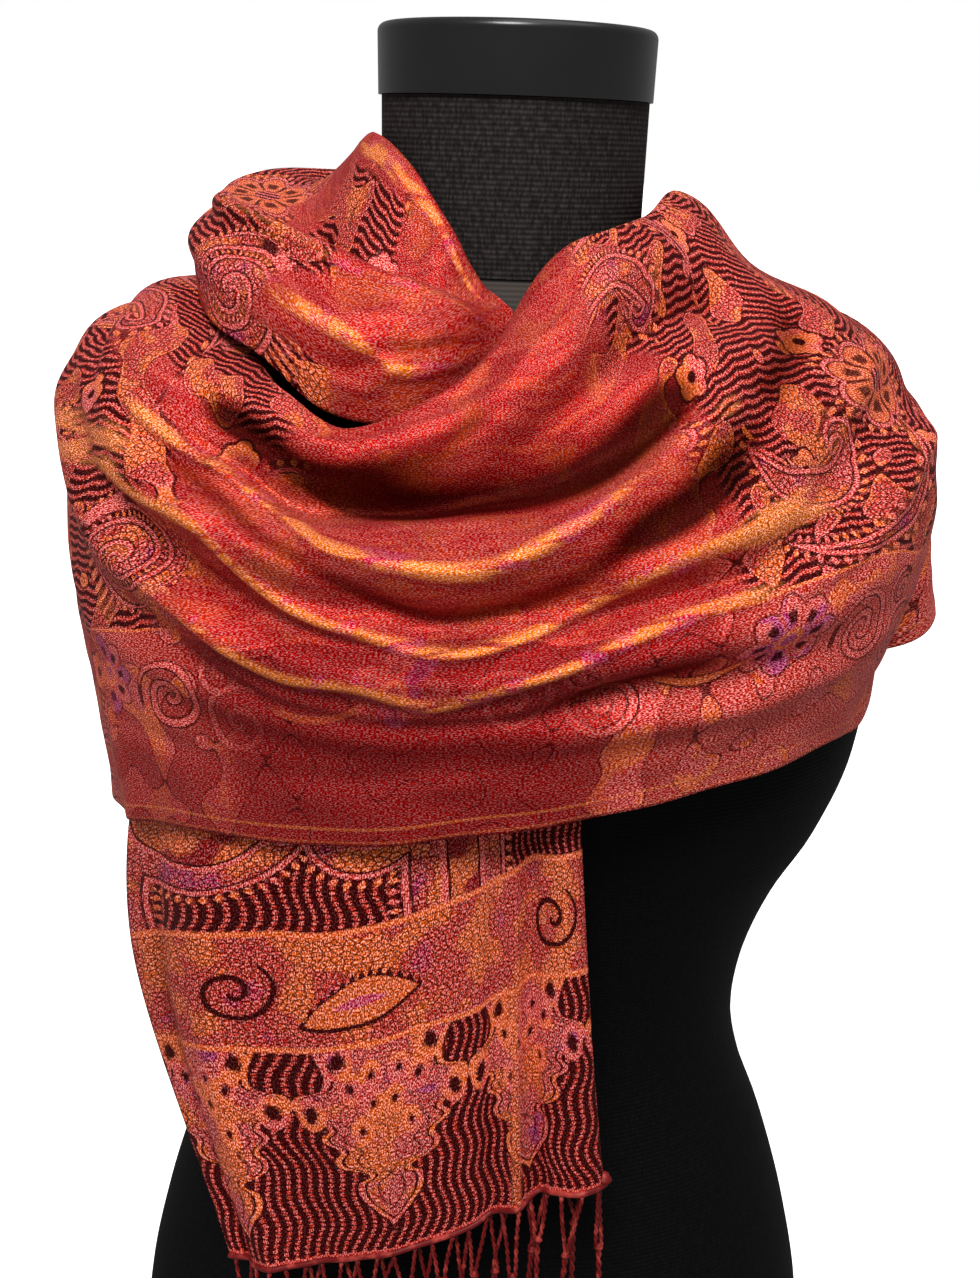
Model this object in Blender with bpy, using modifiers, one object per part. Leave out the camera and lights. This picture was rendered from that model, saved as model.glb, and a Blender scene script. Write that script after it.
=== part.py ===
"""Silk shawl wound about a limbless dress form that stands on its own flat base.

The form is a neck block, a neck and a torso. The shawl is one long cloth, modelled as the stretches that show:
a cape that goes all round, a gathered band about the neck, a folded front end and a back end, each end with a
knotted fringe. Metres, +Z up, the front faces -Y, and the origin is the middle of the form's underside.
"""

import math
from collections import namedtuple

import bmesh
import bpy
from mathutils import Vector

# Driving dimensions
WALL = 0.0015
SEAM = 0.0003
REST_GAP = 0.0006
CLEARANCE = 0.0013
FRINGE_GAP = 0.0005
BASE_CHAMFER = 0.004
SHOULDER_UP = 0.500
TORSO_TOP = 0.614
NECK_LOW_RADIUS = 0.0540
NECK_TOP_RADIUS = 0.0550
NECK_HEIGHT = 0.068
BLOCK_RADIUS = 0.0570
BLOCK_HEIGHT = 0.0275
BLOCK_ROUNDING = 0.0035
BLOCK_TAPER = 0.0006
FRINGE_STRIP = 0.004
FRINGE_LENGTH = 0.085
FRINGE_UNEVENNESS = 0.08
STRAND_RADIUS = 0.0011
STRAND_TIP_RADIUS = 0.0008
STRAND_SIDES = 3
STRAND_RINGS = 3
STRAND_SWAY = 0.003
STRANDS_IN_A_SWAY = 9

# How finely each piece is divided, and how far apart points are taken to find which way a cloth faces
NEAR_TURN = 0.5
NEAR_SHARE = 0.005
FORM_COLUMNS = 36
BLOCK_ROUNDING_STEPS = 4
SHARP_ANGLE = 40
CAPE_COLUMNS = 64
CAPE_ROWS = 25
BAND_COLUMNS = 48
BAND_ROWS = 12
PANEL_COLUMNS = 13
FOLD_COLUMNS = 9
RETURN_COLUMNS = 8
FRONT_END_ROWS = 9
DROP_ROWS = 5

SILK = (0.52, 0.07, 0.07)
FRINGE_SILK = (0.45, 0.07, 0.09)
JERSEY = (0.012, 0.012, 0.014)
BLOCK_BLACK = (0.02, 0.02, 0.022)

# The torso's level sections: half its width, its depth before and behind the axis, and how square it is
Section = namedtuple("Section", "up half_width front back square")
TORSO = [
    Section(0.000, 0.158, 0.101, 0.106, 2.2),
    Section(0.060, 0.167, 0.107, 0.114, 2.2),
    Section(0.110, 0.165, 0.106, 0.112, 2.2),
    Section(0.160, 0.155, 0.102, 0.104, 2.1),
    Section(0.210, 0.1395, 0.096, 0.092, 2.1),
    Section(0.245, 0.1255, 0.090, 0.083, 2.1),
    Section(0.275, 0.1195, 0.087, 0.079, 2.1),
    Section(0.310, 0.123, 0.091, 0.080, 2.1),
    Section(0.345, 0.135, 0.100, 0.086, 2.1),
    Section(0.375, 0.151, 0.107, 0.091, 2.15),
    Section(0.410, 0.163, 0.115, 0.096, 2.15),
    Section(0.450, 0.167, 0.117, 0.099, 2.15),
    Section(0.485, 0.167, 0.111, 0.103, 2.2),
    Section(0.520, 0.167, 0.095, 0.105, 2.3),
    Section(0.552, 0.162, 0.077, 0.103, 2.3),
    Section(0.575, 0.147, 0.067, 0.097, 2.2),
    Section(0.590, 0.118, 0.061, 0.085, 2.1),
    Section(0.602, 0.082, 0.058, 0.070, 2.0),
    Section(0.614, 0.0560, 0.0555, 0.0560, 2.0),
]

# The cape's cut, all round: angle is 0 at the front and grows towards +X, "out" is the reach from the axis.
# The lip is the edge tucked inside the neck opening, the crest its top, and the hem the shawl's lower selvage.
Meridian = namedtuple(
    "Meridian",
    "angle lip_in lip_down crest_out crest_up brow_out brow_up chest_out chest_up hem_out hem_up",
)
CAPE = [
    Meridian(-180, 0.010, 0.001, 0.086, 0.607, 0.110, 0.590, 0.114, 0.532, 0.134, 0.402),
    Meridian(-155, 0.010, 0.001, 0.088, 0.606, 0.128, 0.591, 0.132, 0.532, 0.150, 0.394),
    Meridian(-130, 0.010, 0.002, 0.092, 0.605, 0.149, 0.595, 0.162, 0.530, 0.170, 0.386),
    Meridian(-110, 0.010, 0.002, 0.098, 0.604, 0.163, 0.598, 0.184, 0.535, 0.182, 0.378),
    Meridian(-90, 0.010, 0.002, 0.104, 0.606, 0.165, 0.600, 0.189, 0.530, 0.177, 0.372),
    Meridian(-76, 0.010, 0.003, 0.108, 0.599, 0.164, 0.593, 0.186, 0.528, 0.169, 0.379),
    Meridian(-62, 0.010, 0.006, 0.116, 0.587, 0.162, 0.578, 0.181, 0.522, 0.164, 0.390),
    Meridian(-50, 0.010, 0.012, 0.122, 0.578, 0.156, 0.563, 0.173, 0.516, 0.163, 0.399),
    Meridian(-42, 0.010, 0.018, 0.124, 0.573, 0.151, 0.557, 0.168, 0.513, 0.160, 0.403),
    Meridian(-30, 0.010, 0.022, 0.118, 0.562, 0.143, 0.547, 0.162, 0.508, 0.155, 0.407),
    Meridian(-16, 0.010, 0.022, 0.101, 0.573, 0.132, 0.553, 0.157, 0.508, 0.153, 0.413),
    Meridian(-5, 0.010, 0.022, 0.086, 0.589, 0.123, 0.563, 0.155, 0.510, 0.151, 0.419),
    Meridian(6, 0.009, 0.022, 0.072, 0.613, 0.116, 0.574, 0.155, 0.514, 0.150, 0.423),
    Meridian(18, 0.008, 0.022, 0.069, 0.628, 0.114, 0.585, 0.158, 0.518, 0.150, 0.428),
    Meridian(36, 0.007, 0.020, 0.068, 0.635, 0.116, 0.595, 0.167, 0.520, 0.156, 0.435),
    Meridian(56, 0.006, 0.019, 0.068, 0.640, 0.136, 0.592, 0.177, 0.523, 0.161, 0.438),
    Meridian(74, 0.007, 0.019, 0.069, 0.647, 0.155, 0.591, 0.184, 0.533, 0.164, 0.433),
    Meridian(94, 0.009, 0.019, 0.071, 0.647, 0.161, 0.589, 0.188, 0.533, 0.201, 0.461),
    Meridian(110, 0.009, 0.017, 0.074, 0.641, 0.158, 0.588, 0.183, 0.533, 0.198, 0.446),
    Meridian(124, 0.008, 0.012, 0.080, 0.630, 0.148, 0.587, 0.168, 0.532, 0.182, 0.424),
    Meridian(138, 0.009, 0.004, 0.086, 0.614, 0.130, 0.591, 0.146, 0.532, 0.168, 0.414),
    Meridian(158, 0.010, 0.002, 0.086, 0.610, 0.116, 0.590, 0.122, 0.532, 0.146, 0.407),
]
LIP, CREST, BROW, CHEST, HEM = 0.0, 0.09, 0.28, 0.52, 1.0

# Swags run along a stretch from start to end, in degrees, at these shares of its way across.
# Their height is off the cloth's plain form, a minus one is a trough, and spread is half a fold's width.
Swag = namedtuple("Swag", "start end start_drop middle_drop end_drop height spread")
SOFT_END = 0.3
CAPE_LENGTH_DOWN = 0.30
CAPE_SWAGS = [
    Swag(-60, 36, 0.30, 0.330, 0.34, -0.0140, 0.015),
    Swag(-86, 56, 0.28, 0.465, 0.34, 0.0090, 0.014),
    Swag(-86, 60, 0.37, 0.560, 0.44, -0.0070, 0.014),
    Swag(-88, 66, 0.44, 0.650, 0.53, 0.0065, 0.014),
    Swag(-86, 70, 0.53, 0.725, 0.62, -0.0045, 0.013),
    Swag(-84, 76, 0.62, 0.790, 0.70, 0.0045, 0.014),
    Swag(6, 70, 0.30, 0.225, 0.19, -0.0110, 0.013),
    Swag(28, 92, 0.50, 0.380, 0.31, -0.0085, 0.014),
    Swag(56, 126, 0.12, 0.115, 0.12, 0.0020, 0.009),
    Swag(58, 124, 0.18, 0.170, 0.18, -0.0095, 0.013),
    Swag(-128, -66, 0.34, 0.270, 0.36, -0.0070, 0.014),
    Swag(-132, -60, 0.46, 0.410, 0.50, 0.0055, 0.015),
    Swag(118, 212, 0.40, 0.560, 0.40, 0.0060, 0.018),
    Swag(118, 212, 0.56, 0.740, 0.56, 0.0060, 0.018),
]

# Flutes run down the cape and open towards the hem, measured at the cape's usual reach
Flute = namedtuple("Flute", "angle lean top height spread")
FLUTE_REACH = 0.17
FLUTES = [
    Flute(87, -5, 0.50, -0.032, 0.015),
    Flute(102, 1, 0.55, 0.010, 0.018),
    Flute(128, 4, 0.42, -0.010, 0.018),
    Flute(150, 0, 0.45, 0.009, 0.020),
    Flute(172, 0, 0.50, -0.008, 0.018),
    Flute(-166, 0, 0.46, 0.010, 0.020),
    Flute(-140, -4, 0.44, -0.009, 0.018),
    Flute(-112, -4, 0.45, 0.007, 0.020),
    Flute(-70, 6, 0.62, 0.005, 0.016),
]

# The neck band's sections: turn is degrees from the front, round the left and the back of the neck
Band = namedtuple(
    "Band",
    "turn inner_out inner_up ridge_out ridge_up valley_out valley_up "
    "roll_out roll_up face_out face_up edge_out edge_up",
)
BAND = [
    Band(-2, 0.0608, 0.603, 0.0614, 0.6015, 0.0620, 0.5985, 0.0627, 0.5955, 0.0635, 0.592, 0.0645, 0.588),
    Band(6, 0.0600, 0.6095, 0.0616, 0.6080, 0.0645, 0.604, 0.0682, 0.600, 0.0725, 0.5935, 0.075, 0.583),
    Band(14, 0.0570, 0.614, 0.0615, 0.619, 0.069, 0.607, 0.077, 0.609, 0.090, 0.594, 0.090, 0.571),
    Band(22, 0.0560, 0.624, 0.0605, 0.632, 0.071, 0.608, 0.082, 0.613, 0.101, 0.590, 0.101, 0.563),
    Band(38, 0.0550, 0.643, 0.0600, 0.651, 0.076, 0.615, 0.090, 0.619, 0.112, 0.591, 0.112, 0.566),
    Band(50, 0.0550, 0.653, 0.0600, 0.660, 0.080, 0.622, 0.098, 0.625, 0.120, 0.599, 0.122, 0.584),
    Band(62, 0.0550, 0.658, 0.0600, 0.665, 0.083, 0.628, 0.107, 0.631, 0.126, 0.609, 0.129, 0.593),
    Band(76, 0.0550, 0.660, 0.0610, 0.667, 0.085, 0.633, 0.118, 0.638, 0.130, 0.620, 0.130, 0.601),
    Band(90, 0.0550, 0.655, 0.0620, 0.663, 0.088, 0.640, 0.121, 0.642, 0.132, 0.624, 0.131, 0.6075),
    Band(112, 0.0550, 0.648, 0.0660, 0.656, 0.092, 0.646, 0.123, 0.647, 0.133, 0.627, 0.132, 0.6085),
    Band(135, 0.0550, 0.642, 0.0690, 0.651, 0.087, 0.643, 0.106, 0.648, 0.121, 0.630, 0.125, 0.6090),
    Band(160, 0.0550, 0.637, 0.0680, 0.646, 0.081, 0.638, 0.097, 0.643, 0.113, 0.626, 0.117, 0.6090),
    Band(180, 0.0550, 0.634, 0.0660, 0.643, 0.077, 0.635, 0.091, 0.640, 0.105, 0.624, 0.109, 0.6090),
    Band(205, 0.0550, 0.632, 0.0640, 0.641, 0.073, 0.634, 0.084, 0.638, 0.096, 0.624, 0.100, 0.610),
    Band(222, 0.0550, 0.631, 0.0610, 0.640, 0.067, 0.636, 0.074, 0.636, 0.082, 0.627, 0.086, 0.620),
    Band(236, 0.0575, 0.6355, 0.0600, 0.637, 0.0630, 0.634, 0.0648, 0.630, 0.066, 0.625, 0.067, 0.619),
    Band(250, 0.0590, 0.635, 0.0597, 0.6335, 0.0605, 0.6305, 0.0612, 0.627, 0.0618, 0.622, 0.0623, 0.617),
]
INNER, RIDGE, VALLEY, ROLL, FACE, EDGE = 0.0, 0.10, 0.32, 0.55, 0.80, 1.0
BAND_WIDTH = 0.10
BAND_SWAGS = [
    Swag(8, 118, 0.60, 0.665, 0.64, -0.0035, 0.008),
    Swag(12, 128, 0.72, 0.790, 0.76, 0.0035, 0.009),
    Swag(96, 214, 0.44, 0.480, 0.46, 0.0030, 0.008),
    Swag(104, 222, 0.62, 0.690, 0.66, -0.0040, 0.008),
    Swag(110, 216, 0.78, 0.830, 0.80, 0.0030, 0.009),
]

# The front end is folded in two: rails across it, from its left edge round the right fold and back behind
Rail = namedtuple("Rail", "across top_x top_y top_up bend_x bend_y bend_up hem_x hem_y hem_up")
FRONT_END = [
    Rail(0.00, -0.141, -0.060, 0.470, -0.160, -0.050, 0.322, -0.105, -0.120, 0.207),
    Rail(0.11, -0.118, -0.094, 0.476, -0.122, -0.106, 0.320, -0.088, -0.134, 0.213),
    Rail(0.25, -0.064, -0.122, 0.486, -0.062, -0.141, 0.325, -0.050, -0.143, 0.226),
    Rail(0.38, -0.016, -0.126, 0.494, -0.012, -0.141, 0.330, -0.010, -0.144, 0.240),
    Rail(0.47, 0.011, -0.125, 0.498, 0.018, -0.136, 0.335, 0.024, -0.139, 0.257),
    Rail(0.53, 0.022, -0.127, 0.500, 0.033, -0.142, 0.338, 0.041, -0.145, 0.262),
    Rail(0.57, 0.027, -0.124, 0.500, 0.042, -0.137, 0.338, 0.051, -0.139, 0.263),
    Rail(0.61, 0.021, -0.119, 0.500, 0.036, -0.129, 0.338, 0.045, -0.130, 0.263),
    Rail(0.67, 0.002, -0.1205, 0.497, 0.012, -0.1325, 0.335, 0.018, -0.1345, 0.257),
    Rail(0.78, -0.030, -0.1200, 0.493, -0.022, -0.1355, 0.330, -0.018, -0.1385, 0.241),
    Rail(1.00, -0.088, -0.1060, 0.480, -0.080, -0.1270, 0.324, -0.074, -0.1345, 0.222),
]
BEND_SHARE = 0.58
FOLD_START = 0.49
FOLD_END = 0.65

# The back end lies on the cape behind the left shoulder and hangs below its hem
BACK_END_FIRST_COLUMN = -2
BACK_END_LAST_COLUMN = 12
BACK_END_COLUMNS = range(BACK_END_FIRST_COLUMN, BACK_END_LAST_COLUMN + 1)
BACK_END_FIRST_ROW = 4
BACK_END_UP = 0.315
BACK_END_SLOPE = 0.030
BACK_END_GATHER = 0.94

FRONT_STRANDS = 44
BACK_STRANDS = 26

Place = namedtuple("Place", "key out up")
Knot = namedtuple("Knot", "key x y z")


def smooth(rows, at, period=0.0):
    """The row of a keyed table at a place between its rows, on one smooth curve through them."""
    count = len(rows)
    if period:
        at = rows[0][0] + (at - rows[0][0]) % period
    at = at if period else min(max(at, rows[0][0]), rows[-1][0])
    low = max(i for i in range(count) if rows[i][0] <= at + 1e-9)
    low = low if period else min(low, count - 2)

    def row(i):
        if not period:
            return rows[min(max(i, 0), count - 1)]
        return rows[i % count]

    def key(i):
        if not period:
            return row(i)[0]
        return row(i)[0] + period * math.floor(i / count)

    span = key(low + 1) - key(low)
    share = (at - key(low)) / span
    values = [at]
    for column in range(1, len(rows[0])):
        here, there = row(low)[column], row(low + 1)[column]
        slopes = []
        for i in (low, low + 1):
            reach = key(i + 1) - key(i - 1)
            slopes.append((row(i + 1)[column] - row(i - 1)[column]) / reach * span)
        cubic = 2 * here - 2 * there + slopes[0] + slopes[1]
        square = -3 * here + 3 * there - 2 * slopes[0] - slopes[1]
        values.append(((cubic * share + square) * share + slopes[0]) * share + here)
    return type(rows[0])(*values)


def ease(share):
    """0 before 0, 1 after 1, and a smooth rise between."""
    share = min(max(share, 0.0), 1.0)
    return share * share * (3 - 2 * share)


def arch(share):
    """A hump over 0 to 1 with soft ends and a broad top."""
    return ease(share / SOFT_END) * ease((1 - share) / SOFT_END)


def ray(angle):
    """The level direction at an angle from the front, growing towards +X."""
    turn = math.radians(angle)
    return Vector((math.sin(turn), -math.cos(turn), 0.0))


def form_radius(angle, up):
    """How far the torso or the neck reaches from the axis, at an angle and a height."""
    if up > TORSO_TOP:
        return NECK_TOP_RADIUS
    section = smooth(TORSO, up)
    way = ray(angle)
    depth = section.front if way.y < 0 else section.back
    power = section.square
    total = abs(way.x / section.half_width) ** power + abs(way.y / depth) ** power
    return total ** (-1 / power)


def clear_of_form(point, gap):
    """The point, moved out along its own ray until it is a gap away from the form."""
    angle = math.degrees(math.atan2(point.x, -point.y))
    least = form_radius(angle, point.z) + gap
    reach = math.hypot(point.x, point.y)
    if reach >= least:
        return point
    return ray(angle) * least + Vector((0, 0, point.z))


def plain_cape(angle, drop):
    """A point of the cape without its folds, by angle and by drop, 0 at the lip and 1 at the hem."""
    cut = smooth(CAPE, angle, 360.0)
    profile = [
        Place(LIP, cut.crest_out - cut.lip_in, cut.crest_up - cut.lip_down),
        Place(CREST, cut.crest_out, cut.crest_up),
        Place(BROW, cut.brow_out, cut.brow_up),
        Place(CHEST, cut.chest_out, cut.chest_up),
        Place(HEM, cut.hem_out, cut.hem_up),
    ]
    place = smooth(profile, drop)
    return ray(angle) * place.out + Vector((0, 0, place.up))


def normal_of(surface, sense, along, across):
    """Which way a surface faces, away from the form; sense is -1 where it runs clockwise."""
    low, high = max(across - NEAR_SHARE, 0.0), min(across + NEAR_SHARE, 1.0)
    along_it = (surface(along + NEAR_TURN, across) - surface(along - NEAR_TURN, across)) * sense
    across_it = surface(along, high) - surface(along, low)
    return across_it.cross(along_it).normalized()


def turned(angle):
    """An angle brought to between -180 and 180 degrees."""
    return (angle + 180.0) % 360.0 - 180.0


def swag_lift(swags, width, along, across):
    """How far the swags lift a stretch of this width at a place, with soft ends and a round profile."""
    lift = 0.0
    for swag in swags:
        away = turned(along - 0.5 * (swag.start + swag.end))
        share = 0.5 + away / (swag.end - swag.start)
        if 0 < share < 1:
            sag = 4 * share * (1 - share)
            ends = swag.start_drop + (swag.end_drop - swag.start_drop) * share
            chord = 0.5 * (swag.start_drop + swag.end_drop)
            line = ends + (swag.middle_drop - chord) * sag
            off = (across - line) * width / swag.spread
            lift += swag.height * arch(share) * math.exp(-off * off)
    return lift


def cape_relief(angle, drop):
    """How far the folds lift the cape off its plain form."""
    lift = swag_lift(CAPE_SWAGS, CAPE_LENGTH_DOWN, angle, drop)
    for flute in FLUTES:
        opening = ease((drop - flute.top) / (1 - flute.top))
        line = flute.angle + flute.lean * opening
        away = math.radians(turned(angle - line)) * FLUTE_REACH / flute.spread
        lift += flute.height * opening * math.exp(-away * away)
    return lift


def cape_point(angle, drop, out=0.0):
    """A point of the cape with its folds, or of what lies on it, moved out."""
    lift = cape_relief(angle, drop) + out
    point = plain_cape(angle, drop) + normal_of(plain_cape, 1.0, angle, drop) * lift
    return clear_of_form(point, CLEARANCE + WALL + out)


def plain_band(turn, across):
    """A point of the neck band without its folds, across from the neck to the shoulder."""
    cut = smooth(BAND, turn)
    profile = [
        Place(INNER, cut.inner_out, cut.inner_up),
        Place(RIDGE, cut.ridge_out, cut.ridge_up),
        Place(VALLEY, cut.valley_out, cut.valley_up),
        Place(ROLL, cut.roll_out, cut.roll_up),
        Place(FACE, cut.face_out, cut.face_up),
        Place(EDGE, cut.edge_out, cut.edge_up),
    ]
    place = smooth(profile, across)
    return ray(-turn) * place.out + Vector((0, 0, place.up))


def band_point(turn, across):
    """A point of the neck band with its folds."""
    lift = swag_lift(BAND_SWAGS, BAND_WIDTH, turn, across)
    facing = normal_of(plain_band, -1.0, turn, across)
    return clear_of_form(plain_band(turn, across) + facing * lift, REST_GAP)


def front_end_point(across, down):
    """A point of the folded front end, down from its hidden top to its hem."""
    rail = smooth(FRONT_END, across)
    top = Vector((rail.top_x, rail.top_y, rail.top_up))
    bend = Vector((rail.bend_x, rail.bend_y, rail.bend_up))
    hem = Vector((rail.hem_x, rail.hem_y, rail.hem_up))
    path = [Knot(0.0, *top), Knot(BEND_SHARE, *bend), Knot(1.0, *hem)]
    knot = smooth(path, down)
    return clear_of_form(Vector((knot.x, knot.y, knot.z)), REST_GAP + WALL)


def cape_angle(column):
    """The angle of one of the cape's columns."""
    return -180.0 + 360.0 * column / CAPE_COLUMNS


def back_end_point(column, drop):
    """A point of the back end: on the cape until drop is 1, and hanging free from there to 2."""
    out = WALL + SEAM + REST_GAP
    start = cape_point(cape_angle(column), min(drop, 1.0), out)
    if drop <= 1:
        return start
    across = (column - BACK_END_FIRST_COLUMN) / (BACK_END_LAST_COLUMN - BACK_END_FIRST_COLUMN)
    hem_up = BACK_END_UP - BACK_END_SLOPE * across
    share = drop - 1
    gather = 1 + (BACK_END_GATHER - 1) * share
    return Vector((start.x * gather, start.y * gather, start.z + (hem_up - start.z) * share))


def material(name, colour, roughness, metallic=0.0):
    """A plain finish for one piece."""
    made = bpy.data.materials.new(name)
    made.use_nodes = True
    shader = made.node_tree.nodes["Principled BSDF"]
    shader.inputs["Base Color"].default_value = (*colour, 1.0)
    shader.inputs["Roughness"].default_value = roughness
    shader.inputs["Metallic"].default_value = metallic
    return made


def placed(name, mesh, finish, at=(0.0, 0.0, 0.0)):
    """A named object of the part, standing on the shared empty."""
    obj = bpy.data.objects.new(name, mesh)
    obj.location = at
    obj.parent = stand
    obj.data.materials.append(finish)
    parts.objects.link(obj)
    return obj


def grid_mesh(name, lines, closed=False):
    """An open surface through lines of points, all with as many points, its faces turned away from the form."""
    model = bmesh.new()
    rows = [[model.verts.new(point) for point in line] for line in lines]
    for first, second in zip(rows, rows[1:] + rows[:1] if closed else rows[1:]):
        for i in range(len(first) - 1):
            model.faces.new((first[i], first[i + 1], second[i + 1], second[i]))
    mesh = bpy.data.meshes.new(name)
    model.to_mesh(mesh)
    model.free()
    mesh.shade_smooth()
    return mesh


def thicken(obj, thickness):
    """Gives a cloth surface its wall, grown towards the form."""
    wall = obj.modifiers.new("wall", "SOLIDIFY")
    wall.thickness = thickness
    wall.offset = -1.0
    return obj


def steps(first, last, count):
    """Evenly spaced values with both ends."""
    return [first + (last - first) * i / (count - 1) for i in range(count)]


def make_torso():
    """The padded torso, lofted through its level sections, with flat ends."""
    ups = [0.0, BASE_CHAMFER]
    for low, high in zip(TORSO, TORSO[1:]):
        if low.up > SHOULDER_UP:
            ups.append(0.5 * (low.up + high.up))
        ups.append(high.up)
    model = bmesh.new()
    rings = []
    for up in ups:
        inset = BASE_CHAMFER - up if up < BASE_CHAMFER else 0.0
        ring = []
        for i in range(FORM_COLUMNS):
            angle = 360.0 * i / FORM_COLUMNS
            reach = form_radius(angle, up) - inset
            ring.append(model.verts.new(ray(angle) * reach + Vector((0, 0, up))))
        rings.append(ring)
    for low, high in zip(rings, rings[1:]):
        for i in range(FORM_COLUMNS):
            k = (i + 1) % FORM_COLUMNS
            model.faces.new((low[i], low[k], high[k], high[i]))
    model.faces.new(list(reversed(rings[0])))
    model.faces.new(rings[-1])
    mesh = bpy.data.meshes.new("form_torso")
    model.to_mesh(mesh)
    model.free()
    mesh.shade_smooth()
    mesh.set_sharp_from_angle(angle=math.radians(SHARP_ANGLE))
    placed("form_torso", mesh, material("torso_jersey", JERSEY, 0.9))


def make_neck():
    """The jersey-covered neck, a slightly flared cylinder on the torso."""
    model = bmesh.new()
    bmesh.ops.create_cone(
        model,
        cap_ends=True,
        segments=FORM_COLUMNS,
        radius1=NECK_LOW_RADIUS,
        radius2=NECK_TOP_RADIUS,
        depth=NECK_HEIGHT,
    )
    mesh = bpy.data.meshes.new("form_neck")
    model.to_mesh(mesh)
    model.free()
    mesh.shade_smooth()
    mesh.set_sharp_from_angle(angle=math.radians(SHARP_ANGLE))
    middle = TORSO_TOP + SEAM + NECK_HEIGHT / 2
    placed("form_neck", mesh, material("neck_jersey", JERSEY, 0.8), (0, 0, middle))


def make_block():
    """The turned neck block on top, with a rounded upper rim."""
    profile = [(0.0, BLOCK_HEIGHT)]
    for i in range(BLOCK_ROUNDING_STEPS + 1):
        turn = math.radians(90 - 90 * i / BLOCK_ROUNDING_STEPS)
        out = BLOCK_RADIUS - BLOCK_ROUNDING + BLOCK_ROUNDING * math.cos(turn)
        profile.append((out, BLOCK_HEIGHT - BLOCK_ROUNDING + BLOCK_ROUNDING * math.sin(turn)))
    profile += [(BLOCK_RADIUS - BLOCK_TAPER, 0.0), (0.0, 0.0)]
    mesh = bpy.data.meshes.new("form_neck_block")
    edges = [(i, i + 1) for i in range(len(profile) - 1)]
    mesh.from_pydata([(out, 0.0, up) for out, up in profile], edges, [])
    bottom = TORSO_TOP + NECK_HEIGHT + 2 * SEAM
    block = placed("form_neck_block", mesh, material("neck_block", BLOCK_BLACK, 0.4), (0, 0, bottom))
    turning = block.modifiers.new("turning", "SCREW")
    turning.axis = "Z"
    turning.steps = turning.render_steps = FORM_COLUMNS
    turning.use_merge_vertices = True
    turning.merge_threshold = 0.00001


def make_cape():
    """The stretch that covers both shoulders, the chest and the back, in one ring."""
    lines = []
    for i in range(CAPE_COLUMNS):
        lines.append([cape_point(cape_angle(i), drop) for drop in steps(0.0, 1.0, CAPE_ROWS)])
    mesh = grid_mesh("shawl_cape", lines, closed=True)
    thicken(placed("shawl_cape", mesh, material("cape_silk", SILK, 0.45)), WALL)


def make_band():
    """The gathered stretch about the neck."""
    lines = []
    for turn in steps(BAND[-1].turn, BAND[0].turn, BAND_COLUMNS):
        lines.append([band_point(turn, across) for across in steps(0.0, 1.0, BAND_ROWS)])
    mesh = grid_mesh("shawl_neck_band", lines)
    thicken(placed("shawl_neck_band", mesh, material("band_silk", SILK, 0.42)), WALL)


def front_end_columns():
    """Places across the front end, closer together round its fold."""
    panel = steps(0.0, FOLD_START, PANEL_COLUMNS)
    fold = steps(FOLD_START, FOLD_END, FOLD_COLUMNS)
    back = steps(FOLD_END, 1.0, RETURN_COLUMNS)
    return panel + fold[1:] + back[1:]


def make_front_end():
    """The folded end that hangs in front from beneath the cape."""
    lines = []
    for across in front_end_columns():
        lines.append([front_end_point(across, down) for down in steps(0.0, 1.0, FRONT_END_ROWS)])
    mesh = grid_mesh("shawl_front_end", lines)
    thicken(placed("shawl_front_end", mesh, material("front_end_silk", SILK, 0.5)), WALL)


def make_back_end():
    """The end thrown over the left shoulder, on the cape's own points and hanging below them."""
    drops = steps(0.0, 1.0, CAPE_ROWS)[BACK_END_FIRST_ROW:] + steps(1.0, 2.0, DROP_ROWS)[1:]
    lines = [[back_end_point(column, drop) for drop in drops] for column in BACK_END_COLUMNS]
    mesh = grid_mesh("shawl_back_end", lines)
    thicken(placed("shawl_back_end", mesh, material("back_end_silk", SILK, 0.5)), WALL)


def strand(model, top, sway, length):
    """One hanging strand, a thin tube that bends a little on its way down."""
    rings = []
    for share in steps(0.0, 1.0, STRAND_RINGS):
        radius = STRAND_RADIUS + (STRAND_TIP_RADIUS - STRAND_RADIUS) * share
        middle = top + Vector((sway * math.sin(math.pi * share), 0.0, -length * share))
        ring = []
        for side in range(STRAND_SIDES):
            turn = 2 * math.pi * side / STRAND_SIDES
            ring.append(model.verts.new(middle + Vector((math.cos(turn), math.sin(turn), 0)) * radius))
        rings.append(ring)
    for high, low in zip(rings, rings[1:]):
        for i in range(STRAND_SIDES):
            k = (i + 1) % STRAND_SIDES
            model.faces.new((low[i], low[k], high[k], high[i]))
    model.faces.new(rings[0])
    model.faces.new(list(reversed(rings[-1])))


def walk(line, count):
    """Evenly spaced places along a line of points, each with the line's direction there."""
    lengths = [(b - a).length for a, b in zip(line, line[1:])]
    step = sum(lengths) / count
    places = []
    for i in range(count):
        left = step * (i + 0.5)
        k = 0
        while left > lengths[k]:
            left -= lengths[k]
            k += 1
        along = (line[k + 1] - line[k]).normalized()
        places.append((line[k] + along * left, along))
    return places


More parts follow.
